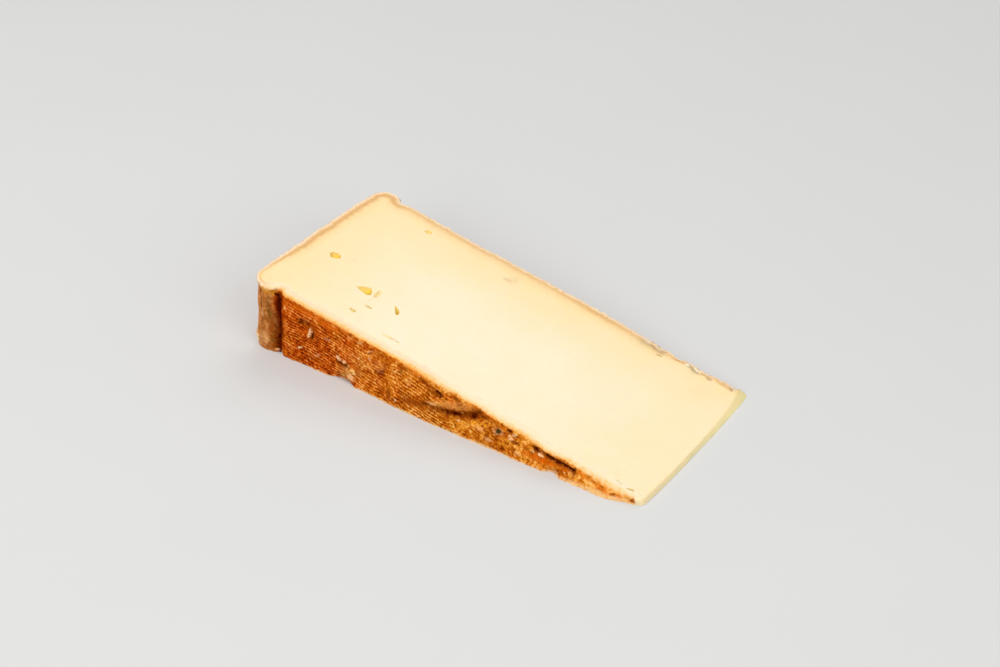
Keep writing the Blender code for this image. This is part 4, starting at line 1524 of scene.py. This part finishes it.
        # Painted highlight and shade: raised threads lighter, the gaps between them darker
        thread = sheet.math("SUBTRACT", sheet.attribute("thread"), 0.36)
        lift = sheet.times(thread, sheet.times(sheet.attribute("weave"), 0.68))
        for patches, weight in mottles:
            lift = sheet.times_plus(sheet.centred(patches), weight, lift)
        tone = sheet.times_plus(lift, sheet.remap(x, -40.0, 10.0, 1.2, 1.38), self.lightness)
        for start, end, step in self.drift:
            tone = sheet.plus(tone, sheet.remap(x, start, end, 0.0, step))
        return tone

    def edge_line(self, sheet: Wiring, x: Socket, patches: Socket, small: Socket, colour: Socket) -> Socket:
        """The colour with the red line under the upper edge laid over it.

        Args:
            sheet: The wiring of the tree that it is added to.
            x: The place along the wedge.
            patches: The large patches.
            small: The small mottle.
            colour: The colour so far.

        Returns:
            The new colour.
        """
        red = sheet.mix(sheet.remap(x, -46.0, -38.0), self.vivid, self.deep_red)
        red = sheet.mix(sheet.remap(small, 0.1, 0.25), self.deep_red, red)
        line = sheet.times(sheet.attribute("edge_line"), patches)
        return sheet.mix(sheet.times(line, sheet.remap(x, -46.0, -38.0, 0.75, 0.35)), colour, red)


@dataclass(frozen=True)
class FleckFinish:
    """Dried crumbs and mould on the rind: chalky, pinkish cream."""

    groups: SharedGroups
    chalk: Colour = (0.86, 0.52, 0.24)
    peach: Colour = (0.78, 0.38, 0.11)

    def material(self) -> bpy.types.Material:
        """Builds the material.

        Returns:
            The material of the flecks.
        """
        made, sheet, shader = new_material("rind_fleck")
        patches = self.groups.patches(sheet, sheet.millimetres(), 3.0, 0.4, 0.6, 2.0)
        colour = sheet.mix(patches, self.peach, self.chalk)
        rough = sheet.remap(patches, 0.0, 1.0, 0.6, 0.85)
        sheet.fill(shader, {"Base Color": colour, "Roughness": rough, "Specular IOR Level": 0.05})
        return made


@dataclass(frozen=True)
class FloorFinish:
    """A plain pale studio floor."""

    colour: Colour = (0.60, 0.60, 0.59)

    def material(self) -> bpy.types.Material:
        """Builds the material.

        Returns:
            The material of the floor.
        """
        made, sheet, shader = new_material("studio_floor")
        cloud = sheet.node("ShaderNodeTexNoise", {"Vector": sheet.millimetres(), "Scale": 0.01})
        lighter = tuple(c * 1.03 for c in self.colour)
        colour = sheet.mix(cloud.outputs["Fac"], self.colour, lighter)
        sheet.fill(shader, {"Base Color": colour, "Roughness": 0.9})
        return made


class NodesTree:
    """A Geometry Nodes tree under construction, with named inputs."""

    def __init__(self, name: str, inputs: dict[str, tuple[str, Any]]) -> None:
        """Makes the tree with a geometry in, a geometry out, and the named inputs between.

        Args:
            name: The tree's name.
            inputs: Each input's socket type and default value, by name.
        """
        self.tree = bpy.data.node_groups.new(name, "GeometryNodeTree")
        self.identifiers: dict[str, str] = {}
        face = self.tree.interface
        face.new_socket("Geometry", in_out="INPUT", socket_type="NodeSocketGeometry")
        for key, (kind, value) in inputs.items():
            made = face.new_socket(key, in_out="INPUT", socket_type=kind)
            if value is not None:
                made.default_value = value
            self.identifiers[key] = made.identifier
        face.new_socket("Geometry", in_out="OUTPUT", socket_type="NodeSocketGeometry")
        self.sheet = Wiring(self.tree)
        self.source = self.sheet.node("NodeGroupInput")
        self.result = self.sheet.node("NodeGroupOutput")

    def named(self, name: str) -> Socket:
        """A number that the mesh carries.

        Args:
            name: The attribute's name.

        Returns:
            The number, as a socket.
        """
        made = self.sheet.node("GeometryNodeInputNamedAttribute", data_type="FLOAT")
        made.inputs["Name"].default_value = name
        return made.outputs["Attribute"]

    def apply(self, mesh: bpy.types.Mesh, name: str, values: dict[str, Any]) -> bpy.types.Object:
        """Runs the tree on a mesh and keeps the result as a plain mesh.

        Args:
            mesh: What the tree starts from.
            name: The finished piece's name.
            values: The modifier's inputs, by name.

        Returns:
            A new object at the origin, with no modifier.
        """
        carrier = bpy.data.objects.new(f"{name}_source", mesh)
        bpy.context.scene.collection.objects.link(carrier)
        modifier = carrier.modifiers.new(name, "NODES")
        modifier.node_group = self.tree
        for key, value in values.items():
            modifier[self.identifiers[key]] = value
        graph = bpy.context.evaluated_depsgraph_get()
        plain = bpy.data.meshes.new_from_object(carrier.evaluated_get(graph), depsgraph=graph)
        plain.name = name
        bpy.data.objects.remove(carrier)
        piece = bpy.data.objects.new(name, plain)
        bpy.context.scene.collection.objects.link(piece)
        return piece


@dataclass
class ClothImprint:
    """The weave of the cloth that the wheel ripened in, pressed into the rind."""

    pitch: float = 1.28
    cross_pitch: float = 1.9
    thread_height: float = 0.11 * MM
    grain_height: float = 0.10 * MM
    grain_size: float = 1.1
    wander: float = 1.3
    cross_share: float = 0.68

    def tree(self) -> NodesTree:
        """Builds the tree: rows of threads along the wheel's side, shorter ones across, and a fine grain.

        Returns:
            The tree, ready to apply.
        """
        floats = {"Pitch": self.pitch, "Cross pitch": self.cross_pitch, "Thread height": self.thread_height}
        floats |= {"Grain height": self.grain_height, "Grain size": self.grain_size, "Wander": self.wander}
        inputs: dict[str, Any] = {key: ("NodeSocketFloat", value) for key, value in floats.items()}
        inputs["Paste"] = ("NodeSocketMaterial", None)
        inputs["Rind"] = ("NodeSocketMaterial", None)
        made = NodesTree("cloth_imprint", inputs)
        sheet, given = made.sheet, made.source.outputs
        where = sheet.node("GeometryNodeInputPosition").outputs[0]
        place = sheet.vector("SCALE", {0: where, "Scale": 1000.0})
        inputs = {"Vector": place, "Scale": 0.09, "Detail": 1.0}
        slow = sheet.node("ShaderNodeTexNoise", inputs).outputs["Fac"]
        drift = sheet.times(sheet.centred(slow), sheet.times(given["Wander"], 3.0))
        row = sheet.over(sheet.plus(made.named("up"), drift), given["Pitch"])
        along = sheet.over(sheet.plus(made.named("along"), drift), given["Cross pitch"])
        shift = sheet.times(sheet.math("FLOOR", row), 0.5)
        cross = self.wave(sheet, sheet.plus(along, shift))
        height = sheet.times_plus(cross, self.cross_share, 1 - self.cross_share)
        height = sheet.times(self.wave(sheet, row), height)
        pressed = sheet.times(made.named("weave"), given["Thread height"])
        cut = sheet.times(sheet.math("SUBTRACT", height, 1.0), pressed)
        inputs = {"Vector": place, "Scale": sheet.over(1.0, given["Grain size"]), "Detail": 2.0}
        grain = sheet.node("ShaderNodeTexNoise", inputs).outputs["Fac"]
        rough = sheet.times(made.named("rough"), given["Grain height"])
        push = sheet.plus(cut, sheet.times(sheet.math("SUBTRACT", grain, 1.0), rough))
        offset = sheet.vector("SCALE", {0: sheet.node("GeometryNodeInputNormal").outputs[0], "Scale": push})
        moved = sheet.node("GeometryNodeSetPosition", {"Geometry": given["Geometry"], "Offset": offset})
        store = sheet.node("GeometryNodeStoreNamedAttribute", data_type="FLOAT", domain="POINT")
        sheet.fill(store, {"Geometry": moved.outputs[0], "Name": "thread", "Value": height})
        real = sheet.node("GeometryNodeRealizeInstances", {"Geometry": store.outputs[0]}).outputs[0]
        paste = sheet.node("GeometryNodeSetMaterial", {"Geometry": real, "Material": given["Paste"]})
        skin = sheet.node("GeometryNodeInputNamedAttribute", {"Name": "is_rind"}, data_type="BOOLEAN")
        rind = sheet.node("GeometryNodeSetMaterial", {"Geometry": paste.outputs[0]})
        sheet.fill(rind, {"Selection": skin.outputs["Attribute"], "Material": given["Rind"]})
        sheet.feed(made.result.inputs[0], rind.outputs[0])
        return made

    @staticmethod
    def wave(sheet: Wiring, turns: Socket) -> Socket:
        """A wave between 0 and 1, once for each whole turn."""
        swing = sheet.math("COSINE", sheet.times(turns, 2 * math.pi))
        return sheet.times_plus(swing, 0.5, 0.5)


@dataclass
class RindFlecks:
    """Crumbs of dried rind and mould, strewn where the wedge carries them."""

    per_square_metre: float = 160000.0
    smallest: float = 0.10 * MM
    largest: float = 0.34 * MM
    stretch: tuple[float, float] = (0.6, 1.8)
    breadth: float = 0.8
    flatness: float = 0.55
    seed: int = 7

    def tree(self) -> NodesTree:
        """Builds the tree: points strewn over the rind, and an uneven grain on each.

        Returns:
            The tree, ready to apply.
        """
        floats = {"Density": self.per_square_metre, "Smallest": self.smallest, "Largest": self.largest}
        inputs: dict[str, Any] = {key: ("NodeSocketFloat", value) for key, value in floats.items()}
        inputs |= {"Seed": ("NodeSocketInt", self.seed), "Finish": ("NodeSocketMaterial", None)}
        inputs |= {"Low": ("NodeSocketVector", None), "High": ("NodeSocketVector", None)}
        made = NodesTree("rind_flecks", inputs)
        sheet, given = made.sheet, made.source.outputs
        density = sheet.times(made.named("fleck"), given["Density"])
        ground = {"Mesh": given["Geometry"], "Density": density, "Seed": given["Seed"]}
        points = sheet.node("GeometryNodeDistributePointsOnFaces", ground).outputs
        grain = sheet.node("GeometryNodeMeshIcoSphere", {"Radius": 1.0, "Subdivisions": 2}).outputs[0]
        whole_turn = {1: (0.0, 0.0, 2 * math.pi)}
        spin = sheet.node("FunctionNodeRandomValue", whole_turn, data_type="FLOAT_VECTOR").outputs[0]
        turned = {0: points["Rotation"], 1: spin}
        turned = sheet.node("FunctionNodeRotateRotation", turned, rotation_space="LOCAL").outputs[0]
        size = {2: given["Smallest"], 3: given["Largest"], "Seed": given["Seed"]}
        size = sheet.node("FunctionNodeRandomValue", size, data_type="FLOAT").outputs[1]
        stretch = dict(zip((2, 3), self.stretch))
        stretch = sheet.node("FunctionNodeRandomValue", stretch, data_type="FLOAT").outputs[1]
        shape = sheet.node("ShaderNodeCombineXYZ", {0: stretch, 1: self.breadth, 2: self.flatness}).outputs[0]
        scale = sheet.vector("SCALE", {0: shape, "Scale": size})
        inputs = {"Points": points["Points"], "Instance": grain, "Rotation": turned, "Scale": scale}
        strewn = sheet.node("GeometryNodeInstanceOnPoints", inputs).outputs[0]
        real = sheet.node("GeometryNodeRealizeInstances", {"Geometry": strewn}).outputs[0]
        where = sheet.node("GeometryNodeInputPosition").outputs[0]
        for operation, limit in (("MAXIMUM", "Low"), ("MINIMUM", "High")):
            where = sheet.vector(operation, {0: where, 1: given[limit]})
        held = sheet.node("GeometryNodeSetPosition", {"Geometry": real, "Position": where}).outputs[0]
        finish = sheet.node("GeometryNodeSetMaterial", {"Geometry": held, "Material": given["Finish"]})
        sheet.feed(made.result.inputs[0], finish.outputs[0])
        return made


def mark_shares(marks: tuple[Mark, ...], place: tuple, ragged: Array, where: Any) -> dict[str, Array]:
    """How much of each kind of mark lies at each point.

    Args:
        marks: The marks.
        place: The depth and the height of each point, or its side on a cut.
        ragged: A noise that makes the marks' edges uneven.
        where: 1 where there may be marks, 0 elsewhere.

    Returns:
        One array for each region, by the name of its trait.
    """
    shares = {region.value: np.zeros(place[0].shape) for region in Region}
    for mark in marks:
        share = where * mark.strength * mark.share(*place, ragged)
        shares[mark.region.value] = np.maximum(shares[mark.region.value], share)
    return shares


@dataclass
class WallTraits:
    """The numbers that the wall carries for its finish, one array each, in the shape of the points."""

    form: WheelSector
    points: WallPoints
    wobble_size: float = 1.1 * MM
    patch_size: float = 6.0 * MM
    fine_size: float = 0.6 * MM
    break_size: float = 2.2 * MM
    line_width: float = 0.9 * MM
    crease_grows: tuple[float, float] = (78 * MM, 94 * MM)
    split_opens: tuple[float, float] = (128 * MM, 133 * MM)
    split_thins: tuple[float, float] = (137 * MM, 143 * MM)
    hook_width: float = 0.4 * MM
    fold_width: float = 1.7 * MM
    ember_width: float = 1.0 * MM
    blush_middle: tuple[float, float] = (93.5 * MM, 10.6 * MM)
    blush_slope: float = 0.18
    blush_reach: tuple[float, float] = (8.0 * MM, 1.7 * MM)
    lip_starts: tuple[float, float] = (16 * MM, 24 * MM)
    lip_grows: tuple[float, float] = (42 * MM, 56 * MM)
    lip_grows_more: tuple[float, float] = (138 * MM, 150 * MM)
    edge_line_depth: float = 2.6 * MM
    edge_line_width: float = 1.3 * MM
    edge_line_starts: tuple[float, float] = (14 * MM, 17 * MM)
    edge_line_ends: tuple[float, float] = (108 * MM, 116 * MM)
    weave_starts: tuple[float, float] = (15 * MM, 18 * MM)
    weave_fades: tuple[float, float] = (80 * MM, 112 * MM)
    back_weave: float = 0.7
    heel_weave: float = 0.35
    bare_tip: tuple[float, float] = (3.2 * MM, 1.6 * MM)
    fleck_share: float = 0.16
    stray_share: float = 0.03

    def __post_init__(self) -> None:
        """Makes the noises and masks that the traits share, and starts from the marks."""
        points = self.points
        self.front = (points.stretch == Stretch.FRONT.value).astype(float)
        self.rind = (points.stretch != Stretch.TIP.value).astype(float)
        self.on_tip = points.stretch[0] == Stretch.TIP.value
        self.wobble = noise_at(points.place, self.wobble_size, (1.0, 6.0, 2.0))
        self.slow = noise_at(points.place, self.patch_size, (3.0, 3.0, 9.0))
        self.groove_at = np.interp(points.height, *self.form.groove_path)
        ragged = 0.35 * self.wobble + 0.3 * noise_at(points.place, self.fine_size, (4.0, 2.0, 7.0))
        self.values = mark_shares(MARKS, (points.depth, points.height), ragged, self.front)

    def lift(self, name: str, value: Array) -> None:
        """Raises a trait to a value where it is lower."""
        self.values[name] = np.maximum(self.values[name], value)

    def lines(self) -> None:
        """The dark lines of painted shade: the fold's crease, the split with its hook, and the groove of the
        corner strip.
        """
        form, front, wobble = self.form, self.front, self.wobble
        depth, height, below = self.points.depth, self.points.height, self.points.below
        from_fold = form.fold_distance(depth, height)
        broken = clamp(0.62 + 0.5 * noise_at(self.points.place, self.break_size, (9.0, 2.0, 5.0)))
        crease = bell(from_fold + 0.8 * MM * wobble, self.line_width) * broken
        crease = crease * (0.10 + 0.62 * ease(*self.crease_grows, depth))
        opened, away = form.split_share(depth, height)
        opened = opened * ease(*self.split_opens, depth)
        taper = 1.0 - 0.25 * ease(*self.split_thins, depth)
        split = opened * bell((away + 0.2 * MM * wobble) / taper, self.line_width)
        from_hook = distance_to_path(depth / MM, below / MM, form.split_hook)
        hook = 0.9 * bell(from_hook + 0.25 * wobble, self.hook_width / MM)
        wide = 1.15 * MM + 0.9 * MM * hump(height, 12 * MM, 10 * MM)
        groove = bell(depth - self.groove_at + 0.5 * MM * wobble, wide) * ease(0.8 * MM, 3.2 * MM, below)
        # Painted shade: dark in the crease, the split, its hook and the corner strip's groove
        self.lift("stain", front * np.maximum.reduce([crease, split, hook, groove]))
        # Painted shade along the fold; darker brown round the split
        self.lift("umber", front * 0.85 * bell(from_fold + 0.9 * MM * wobble, self.fold_width))
        self.lift("umber", front * 0.2 * opened * bell(away + 0.2 * MM, self.line_width))
        self.lift("ember", front * opened * 0.8 * bell(away - 0.2 * MM * wobble, self.ember_width))

    def patches(self) -> None:
        """The blush on the fold, the painted highlight on the lower lip, the red line by the upper edge, and
        the corner strip.
        """
        front, wobble, values = self.front, self.wobble, self.values
        depth, height, below = self.points.depth, self.points.height, self.points.below
        across = depth - self.blush_middle[0]
        above = height - self.blush_middle[1] - self.blush_slope * across
        reach = np.hypot(across / self.blush_reach[0], above / self.blush_reach[1])
        values["blush"] = front * 0.8 * bell(reach**2, 1.0)
        # Painted highlight: the lower lip is lighter, where it catches the light
        later = 0.25 * ease(*self.lip_grows, depth)
        tall = (0.45 + later + 0.75 * ease(*self.lip_grows_more, depth)) * MM
        lip_highlight = 1 - ease(0.35 * tall, 1.3 * tall, height + 0.5 * MM * self.slow + 0.3 * MM * wobble)
        values["lip_highlight"] = front * lip_highlight * ease(*self.lip_starts, depth) * (0.6 + later)
        line = bell(below - self.edge_line_depth, self.edge_line_width)
        line = line * (1 - ease(*self.edge_line_ends, depth))
        values["edge_line"] = front * line * ease(*self.edge_line_starts, depth)
        corner = ease(-0.2 * MM, 0.9 * MM, depth - 0.9 * MM + 0.8 * MM * wobble)
        inside = 1 - ease(-2.4 * MM, -1.1 * MM, depth - self.groove_at + 0.4 * MM * wobble)
        values["strip"] = front * corner * inside

    def weave(self) -> None:
        """How strongly the cloth's weave shows: least on the heel, past the fold and on the marks."""
        depth, stretch, values = self.points.depth, self.points.stretch, self.values
        weave = ease(*self.weave_starts, depth) * (1 - 0.85 * ease(*self.weave_fades, depth))
        weave = weave * clamp(0.85 + 0.9 * self.slow) * ease(1.6 * MM, 3.0 * MM, self.points.below)
        weave *= 1 - 0.32 * hump(depth, 60 * MM, 30 * MM)
        weave *= 1 - 0.85 * np.maximum.reduce([values[name] for name in ("pale", "mould", "blush", "stain")])
        back = (stretch == Stretch.BACK.value) * ease(14 * MM, 18 * MM, depth) * self.back_weave
        heel = (stretch == Stretch.HEEL.value) * self.heel_weave
        values["weave"] = clamp(self.front * weave + back + heel)

    def section(self) -> None:
        """Where each point lies in the rind's section, and how much of it is the bare tip."""
        form, values, on_tip = self.form, self.values, self.on_tip
        depth, side, below = self.points.depth, self.points.side, self.points.below
        fades, bare = (form.length - before for before in self.bare_tip)
        fade = 1 - ease(fades, bare, depth + 0.4 * MM * self.wobble)
        values["rough"] = self.rind * fade * ease(0.4 * MM, 1.6 * MM, below)
        edge = np.stack([depth[-1], side[-1]], axis=1)
        from_rind = np.zeros(depth.shape[1])
        from_rind[on_tip] = Cut.clearance(edge[on_tip], edge[~on_tip]) / MM + 1.0
        width = 1.05 - 0.55 * hump(depth, 62 * MM, 24 * MM) - 0.3 * ease(80 * MM, 95 * MM, depth)
        width = width + 0.3 * ease(140 * MM, 154 * MM, depth)
        values["rim"] = np.where(on_tip, from_rind, -below / MM / (1 + self.front * (width - 1)))
        values["front"] = np.where(on_tip, side < 30 * MM, self.front * ease(3.5 * MM, 10.0 * MM, depth))
        values["band"] = form.band_strength(depth, side)
        values["up"] = -below / MM
        values["along"] = self.points.along / MM
        yellow = ease(-0.3 * MM, 0.6 * MM, below) * (0.5 + 0.5 * ease(5 * MM, 62 * MM, side))
        values["tip"] = np.where(on_tip, yellow, 1 - self.rind * fade)
        self.lift("olive", on_tip * 0.3 * ease(60 * MM, 75 * MM, side))

    def wear(self) -> None:
        """The worn back edge, the crumbs, and where flecks lie: on the upper edges, thinly on the front."""
        front, slow, wobble, points = self.front, self.slow, self.wobble, self.points
        depth, below = points.depth, points.below
        worn = self.form.worn_back(depth, points.side) * bell(below, 1.6 * MM) * (1 - front)
        self.lift("chalk", clamp(1.5 * points.crumbs) + worn * clamp(0.45 + 1.6 * wobble))
        self.values["chalk"] = clamp(self.values["chalk"])
        self.lift("umber", worn * clamp(-1.6 * wobble))
        edge = (1 - front) * self.rind * bell(below - 0.6 * MM, 0.7 * MM) * clamp(0.35 + 1.6 * slow)
        edge_worn = 1.5 * edge * ease(126 * MM, 130 * MM, depth)
        strewn = front * ease(2.4 * MM, 3.6 * MM, below) * clamp(0.1 + 0.5 * slow) * self.fleck_share
        rest = (1 - front) * self.rind * self.stray_share
        inner = 1 - ease(158 * MM, 166 * MM, depth)
        flecks = (edge + edge_worn + strewn + rest) * inner
        self.values["fleck"] = flecks * ease(0.5 * MM, 1.5 * MM, points.height)

    def made(self) -> dict[str, Array]:
        """All the traits. Each step may use what an earlier one left.

        Returns:
            One array for each trait, by its name.
        """
        for step in (self.lines, self.patches, self.weave, self.section, self.wear):
            step()
        self.values["green"] = np.zeros(self.points.depth.shape)
        return self.values


@dataclass
class Shell:
    """A closed mesh under construction: its points, what they carry, and its faces."""

    total: int = 0
    places: list[Array] = field(default_factory=list)
    carried: dict[str, list[Array]] = field(default_factory=dict)
    faces: list[tuple[int, ...]] = field(default_factory=list)
    rind: list[bool] = field(default_factory=list)

    def add_points(self, places: Array, traits: dict[str, Array]) -> Array:
        """Adds points and what they carry, and gives their numbers.

        Args:
            places: One row a point.
            traits: One array for each trait, by its name.

        Returns:
            The points' numbers.
        """
        numbers = self.total + np.arange(len(places))
        self.total += len(places)
        self.places.append(places)
        for name, values in traits.items():
            self.carried.setdefault(name, []).append(values)
        return numbers

    def add_faces(self, faces: list[tuple[int, ...]], is_rind: bool) -> None:
        """Adds faces that are all rind or all paste."""
        self.faces += faces
        self.rind += [is_rind] * len(faces)

    def mesh(self, name: str) -> bpy.types.Mesh:
        """Makes the mesh, with what its points carry as attributes.

        Args:
            name: The mesh's name.

        Returns:
            The mesh, with smooth faces and sharp edges.
        """
        log.info("%s: %d points, %d faces", name, self.total, len(self.faces))
        mesh = bpy.data.meshes.new(name)
        mesh.from_pydata(np.concatenate(self.places), [], self.faces)
        mesh.shade_smooth()
        mesh.set_sharp_from_angle(angle=math.radians(55))
        for trait, parts in self.carried.items():
            made = mesh.attributes.new(trait, "FLOAT", "POINT")
            made.data.foreach_set("value", np.concatenate(parts).astype(np.float32))
        skin = mesh.attributes.new("is_rind", "BOOLEAN", "FACE")
        skin.data.foreach_set("value", np.array(self.rind))
        return mesh


@dataclass
class CheeseWedge:
    """The whole wedge: wall, cuts, what its surface carries, and its finishes."""

    form: WheelSector = field(default_factory=WheelSector)

    def add_wall(self, shell: Shell, wall: Wall, points: WallPoints) -> tuple[Array, Array]:
        """Adds the wall, and gives the numbers of its points on the lower and the upper edge.

        Args:
            shell: The mesh that it belongs to.
            wall: The wall.
            points: The wall's points.

        Returns:
            The numbers, lower edge first.
        """
        kept = wall.column_levels(points)
        counts = [len(levels) for levels in kept]
        starts = np.cumsum([0] + counts)
        rows, columns = np.concatenate(kept), np.repeat(np.arange(len(kept)), counts)
        traits = WallTraits(self.form, points).made()
        carried = {name: values[rows, columns] for name, values in traits.items()}
        shell.add_points(points.place[rows, columns], carried)
        for left in range(len(kept)):
            right = (left + 1) % len(kept)
            ids = [starts[k] + np.arange(counts[k]) for k in (left, right)]
            is_rind = points.stretch[0, left] != Stretch.TIP.value
            shell.add_faces(wall.zipped(kept[left], kept[right], *ids), is_rind)
        return starts[:-1], starts[1:] - 1

    def add_cut(self, shell: Shell, cut: Cut, edge: Array, ids: Array) -> None:
        """Adds a cut: the points inside its edge, and its triangles.

        Args:
            shell: The mesh that it closes.
            cut: The cut.
            edge: The depth and side of the wall's points along it.
            ids: The numbers of those points.
        """
        flat, triangles = cut.triangles(edge, cut.scattered(edge))
        inner = flat[len(edge) :]
        depth, side = inner[:, 0], inner[:, 1]
        sink, glow, green, shade = cut.hollow(inner)
        place = self.form.placed(depth, side, np.full(len(inner), cut.turn))
        marks = CUT_MARKS if cut.eyes else ()
        ragged = 0.5 * noise_at(place, 0.7 * MM, (4.0, 2.0, 7.0))
        marked = mark_shares(marks, (depth, side), ragged, 1.0)
        for mark in marks:
            sink -= mark.proud * MM * mark.share(depth, side, 0.5 * ragged)
        angle = self.form.sector_angle
        place = within_box(place + np.outer(sink, (-math.sin(angle), 0.0, -math.cos(angle))))
        marked |= {"glow": np.maximum(marked["glow"], glow), "green": green}
        # The eyes' painted shade darkens them through the umber tint
        marked["umber"] = np.maximum(marked["umber"], shade)
        number = np.concatenate([ids, shell.total + np.arange(len(inner))])
        wound = 1 if cut.turn > 0 else -1
        shell.add_faces([tuple(int(number[k]) for k in face[::wound]) for face in triangles], False)
        plain = {name: np.zeros(len(inner)) for name in shell.carried}
        shell.add_points(place, plain | marked | self.cut_section(inner, edge))

    def cut_section(self, inner: Array, edge: Array) -> dict[str, Array]:
        """How far each of a cut's inner points lies from the rind, and from which side of it.

        Args:
            inner: The cut's inner points, in depth and side.
            edge: The cut's edge, in depth and side.

        Returns:
            One array for each trait of the section, by its name.
        """
        stretches = Wall(self.form).stretches()
        front = (stretches == Stretch.FRONT.value) & (edge[:, 0] > 8 * MM)
        to_front = Cut.clearance(inner, edge[front])
        to_other = Cut.clearance(inner, edge[~front & (stretches != Stretch.TIP.value)])
        depth, side = inner[:, 0], inner[:, 1]
        thin = 1 + 1.3 * ease(134 * MM, 142 * MM, depth) * ease(40 * MM, 50 * MM, side)
        thin += 1.2 * (1 - ease(10 * MM, 24 * MM, depth)) * (1 - ease(8 * MM, 26 * MM, side))
        return {
            "rim": np.minimum(to_front, to_other * thin) / MM,
            "front": ease(-2.0 * MM, 2.0 * MM, to_other - to_front),
            "band": self.form.band_strength(depth, side),
        }

    def mesh(self) -> bpy.types.Mesh:
        """Builds the closed mesh, with its traits as attributes.

        Returns:
            The mesh that Geometry Nodes start from.
        """
        wall, shell = Wall(self.form), Shell()
        points = wall.points()
        lower, upper = self.add_wall(shell, wall, points)
        cuts = ((Cut(self.form, 1.0, EYES), upper, -1), (Cut(self.form, 0.0, step=2.4 * MM), lower, 0))
        for cut, ids, level in cuts:
            self.add_cut(shell, cut, np.stack([points.depth[level], points.side[level]], axis=1), ids)
        return shell.mesh("cheese_wedge_base")

    def build(self) -> list[bpy.types.Object]:
        """Makes both pieces, attaches them to the root body and hides the CAD part that they replace.

        Returns:
            The wedge and its flecks.
        """
        groups = SharedGroups(Mottle().tree(), RimBand().tree())
        paste, rind = PasteFinish(groups).material(), RindFinish(groups).material()
        imprint = ClothImprint().tree()
        wedge = imprint.apply(self.mesh(), "dressed_wedge", {"Paste": paste, "Rind": rind})
        low, high = (within_box(np.array(corner)) for corner in CAD_BOX)
        strewn = {"Low": low.tolist(), "High": high.tolist(), "Finish": FleckFinish(groups).material()}
        flecks = RindFlecks().tree().apply(wedge.data.copy(), "strewn_flecks", strewn)
        for piece in (wedge, flecks):
            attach(piece, "root")
        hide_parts(NODE)
        return [wedge, flecks]


@dataclass
class Studio:
    """A pale floor, soft lights and a camera at the photograph's angle."""

    azimuth: float = 34.367
    elevation: float = 34.954
    distance: float = 0.6863
    target: Colour = (-0.01165, 0.0201, 0.0)
    lens: float = 65.0
    sensor: float = 36.0
    floor_size: float = 6.0
    surround: float = 0.36

    def floor(self) -> None:
        """Lays the floor just under the wedge."""
        half = self.floor_size / 2
        corners = [(-half, -half, 0.0), (half, -half, 0.0), (half, half, 0.0), (-half, half, 0.0)]
        mesh = bpy.data.meshes.new("studio_floor")
        mesh.from_pydata(corners, [], [(0, 1, 2, 3)])
        mesh.materials.append(FloorFinish().material())
        made = bpy.data.objects.new("studio_floor", mesh)
        bpy.context.scene.collection.objects.link(made)

    def camera(self) -> None:
        """Sets the camera where the photograph was taken from."""
        azimuth, elevation = math.radians(self.azimuth), math.radians(self.elevation)
        flat = math.cos(elevation)
        back = Vector((math.sin(azimuth) * flat, -math.cos(azimuth) * flat, math.sin(elevation)))
        data = bpy.data.cameras.new("camera")
        data.lens = self.lens
        data.sensor_width = self.sensor
        data.clip_start = 0.01
        made = bpy.data.objects.new("camera", data)
        made.location = Vector(self.target) + back * self.distance
        made.rotation_euler = back.to_track_quat("Z", "Y").to_euler()
        bpy.context.scene.collection.objects.link(made)
        bpy.context.scene.camera = made

    def lamp(self, name: str, place: Colour, size: float, power: float) -> None:
        """Hangs a square soft light that faces the wedge.

        Args:
            name: The light's name.
            place: Where it hangs, in metres.
            size: The square's side, in metres.
            power: Its power in watts.
        """
        data = bpy.data.lights.new(name, "AREA")
        data.shape = "SQUARE"
        data.size = size
        data.energy = power
        made = bpy.data.objects.new(name, data)
        made.location = place
        made.rotation_euler = Vector(place).to_track_quat("Z", "Y").to_euler()
        bpy.context.scene.collection.objects.link(made)

    def lights(self) -> None:
        """Hangs the lights and fills the surroundings with soft light."""
        self.lamp("key_light", (-0.62, -0.40, 1.22), 0.7, 9.5)
        self.lamp("front_light", (0.10, -1.15, 0.75), 0.6, 5.0)
        self.lamp("side_light", (0.95, -0.35, 0.70), 0.8, 5.0)
        self.lamp("back_light", (-0.10, 0.85, 1.10), 1.0, 5.0)
        world = bpy.data.worlds.new("studio")
        world.use_nodes = True
        shade, strength = world.node_tree.nodes["Background"].inputs[:2]
        shade.default_value = (1.0, 1.0, 1.0, 1.0)
        strength.default_value = self.surround
        bpy.context.scene.world = world

    def build(self) -> None:
        """Sets up the whole studio."""
        self.floor()
        self.camera()
        self.lights()
        bpy.context.scene.view_settings.view_transform = "Standard"


def main() -> None:
    """Builds the studio and the wedge, and reports each piece."""
    logging.basicConfig(level=logging.INFO, format="%(name)s: %(message)s")
    Studio().build()
    for piece in CheeseWedge().build():
        log.info("%s: %d faces", piece.name, len(piece.data.polygons))


if __name__ == "__main__":
    main()
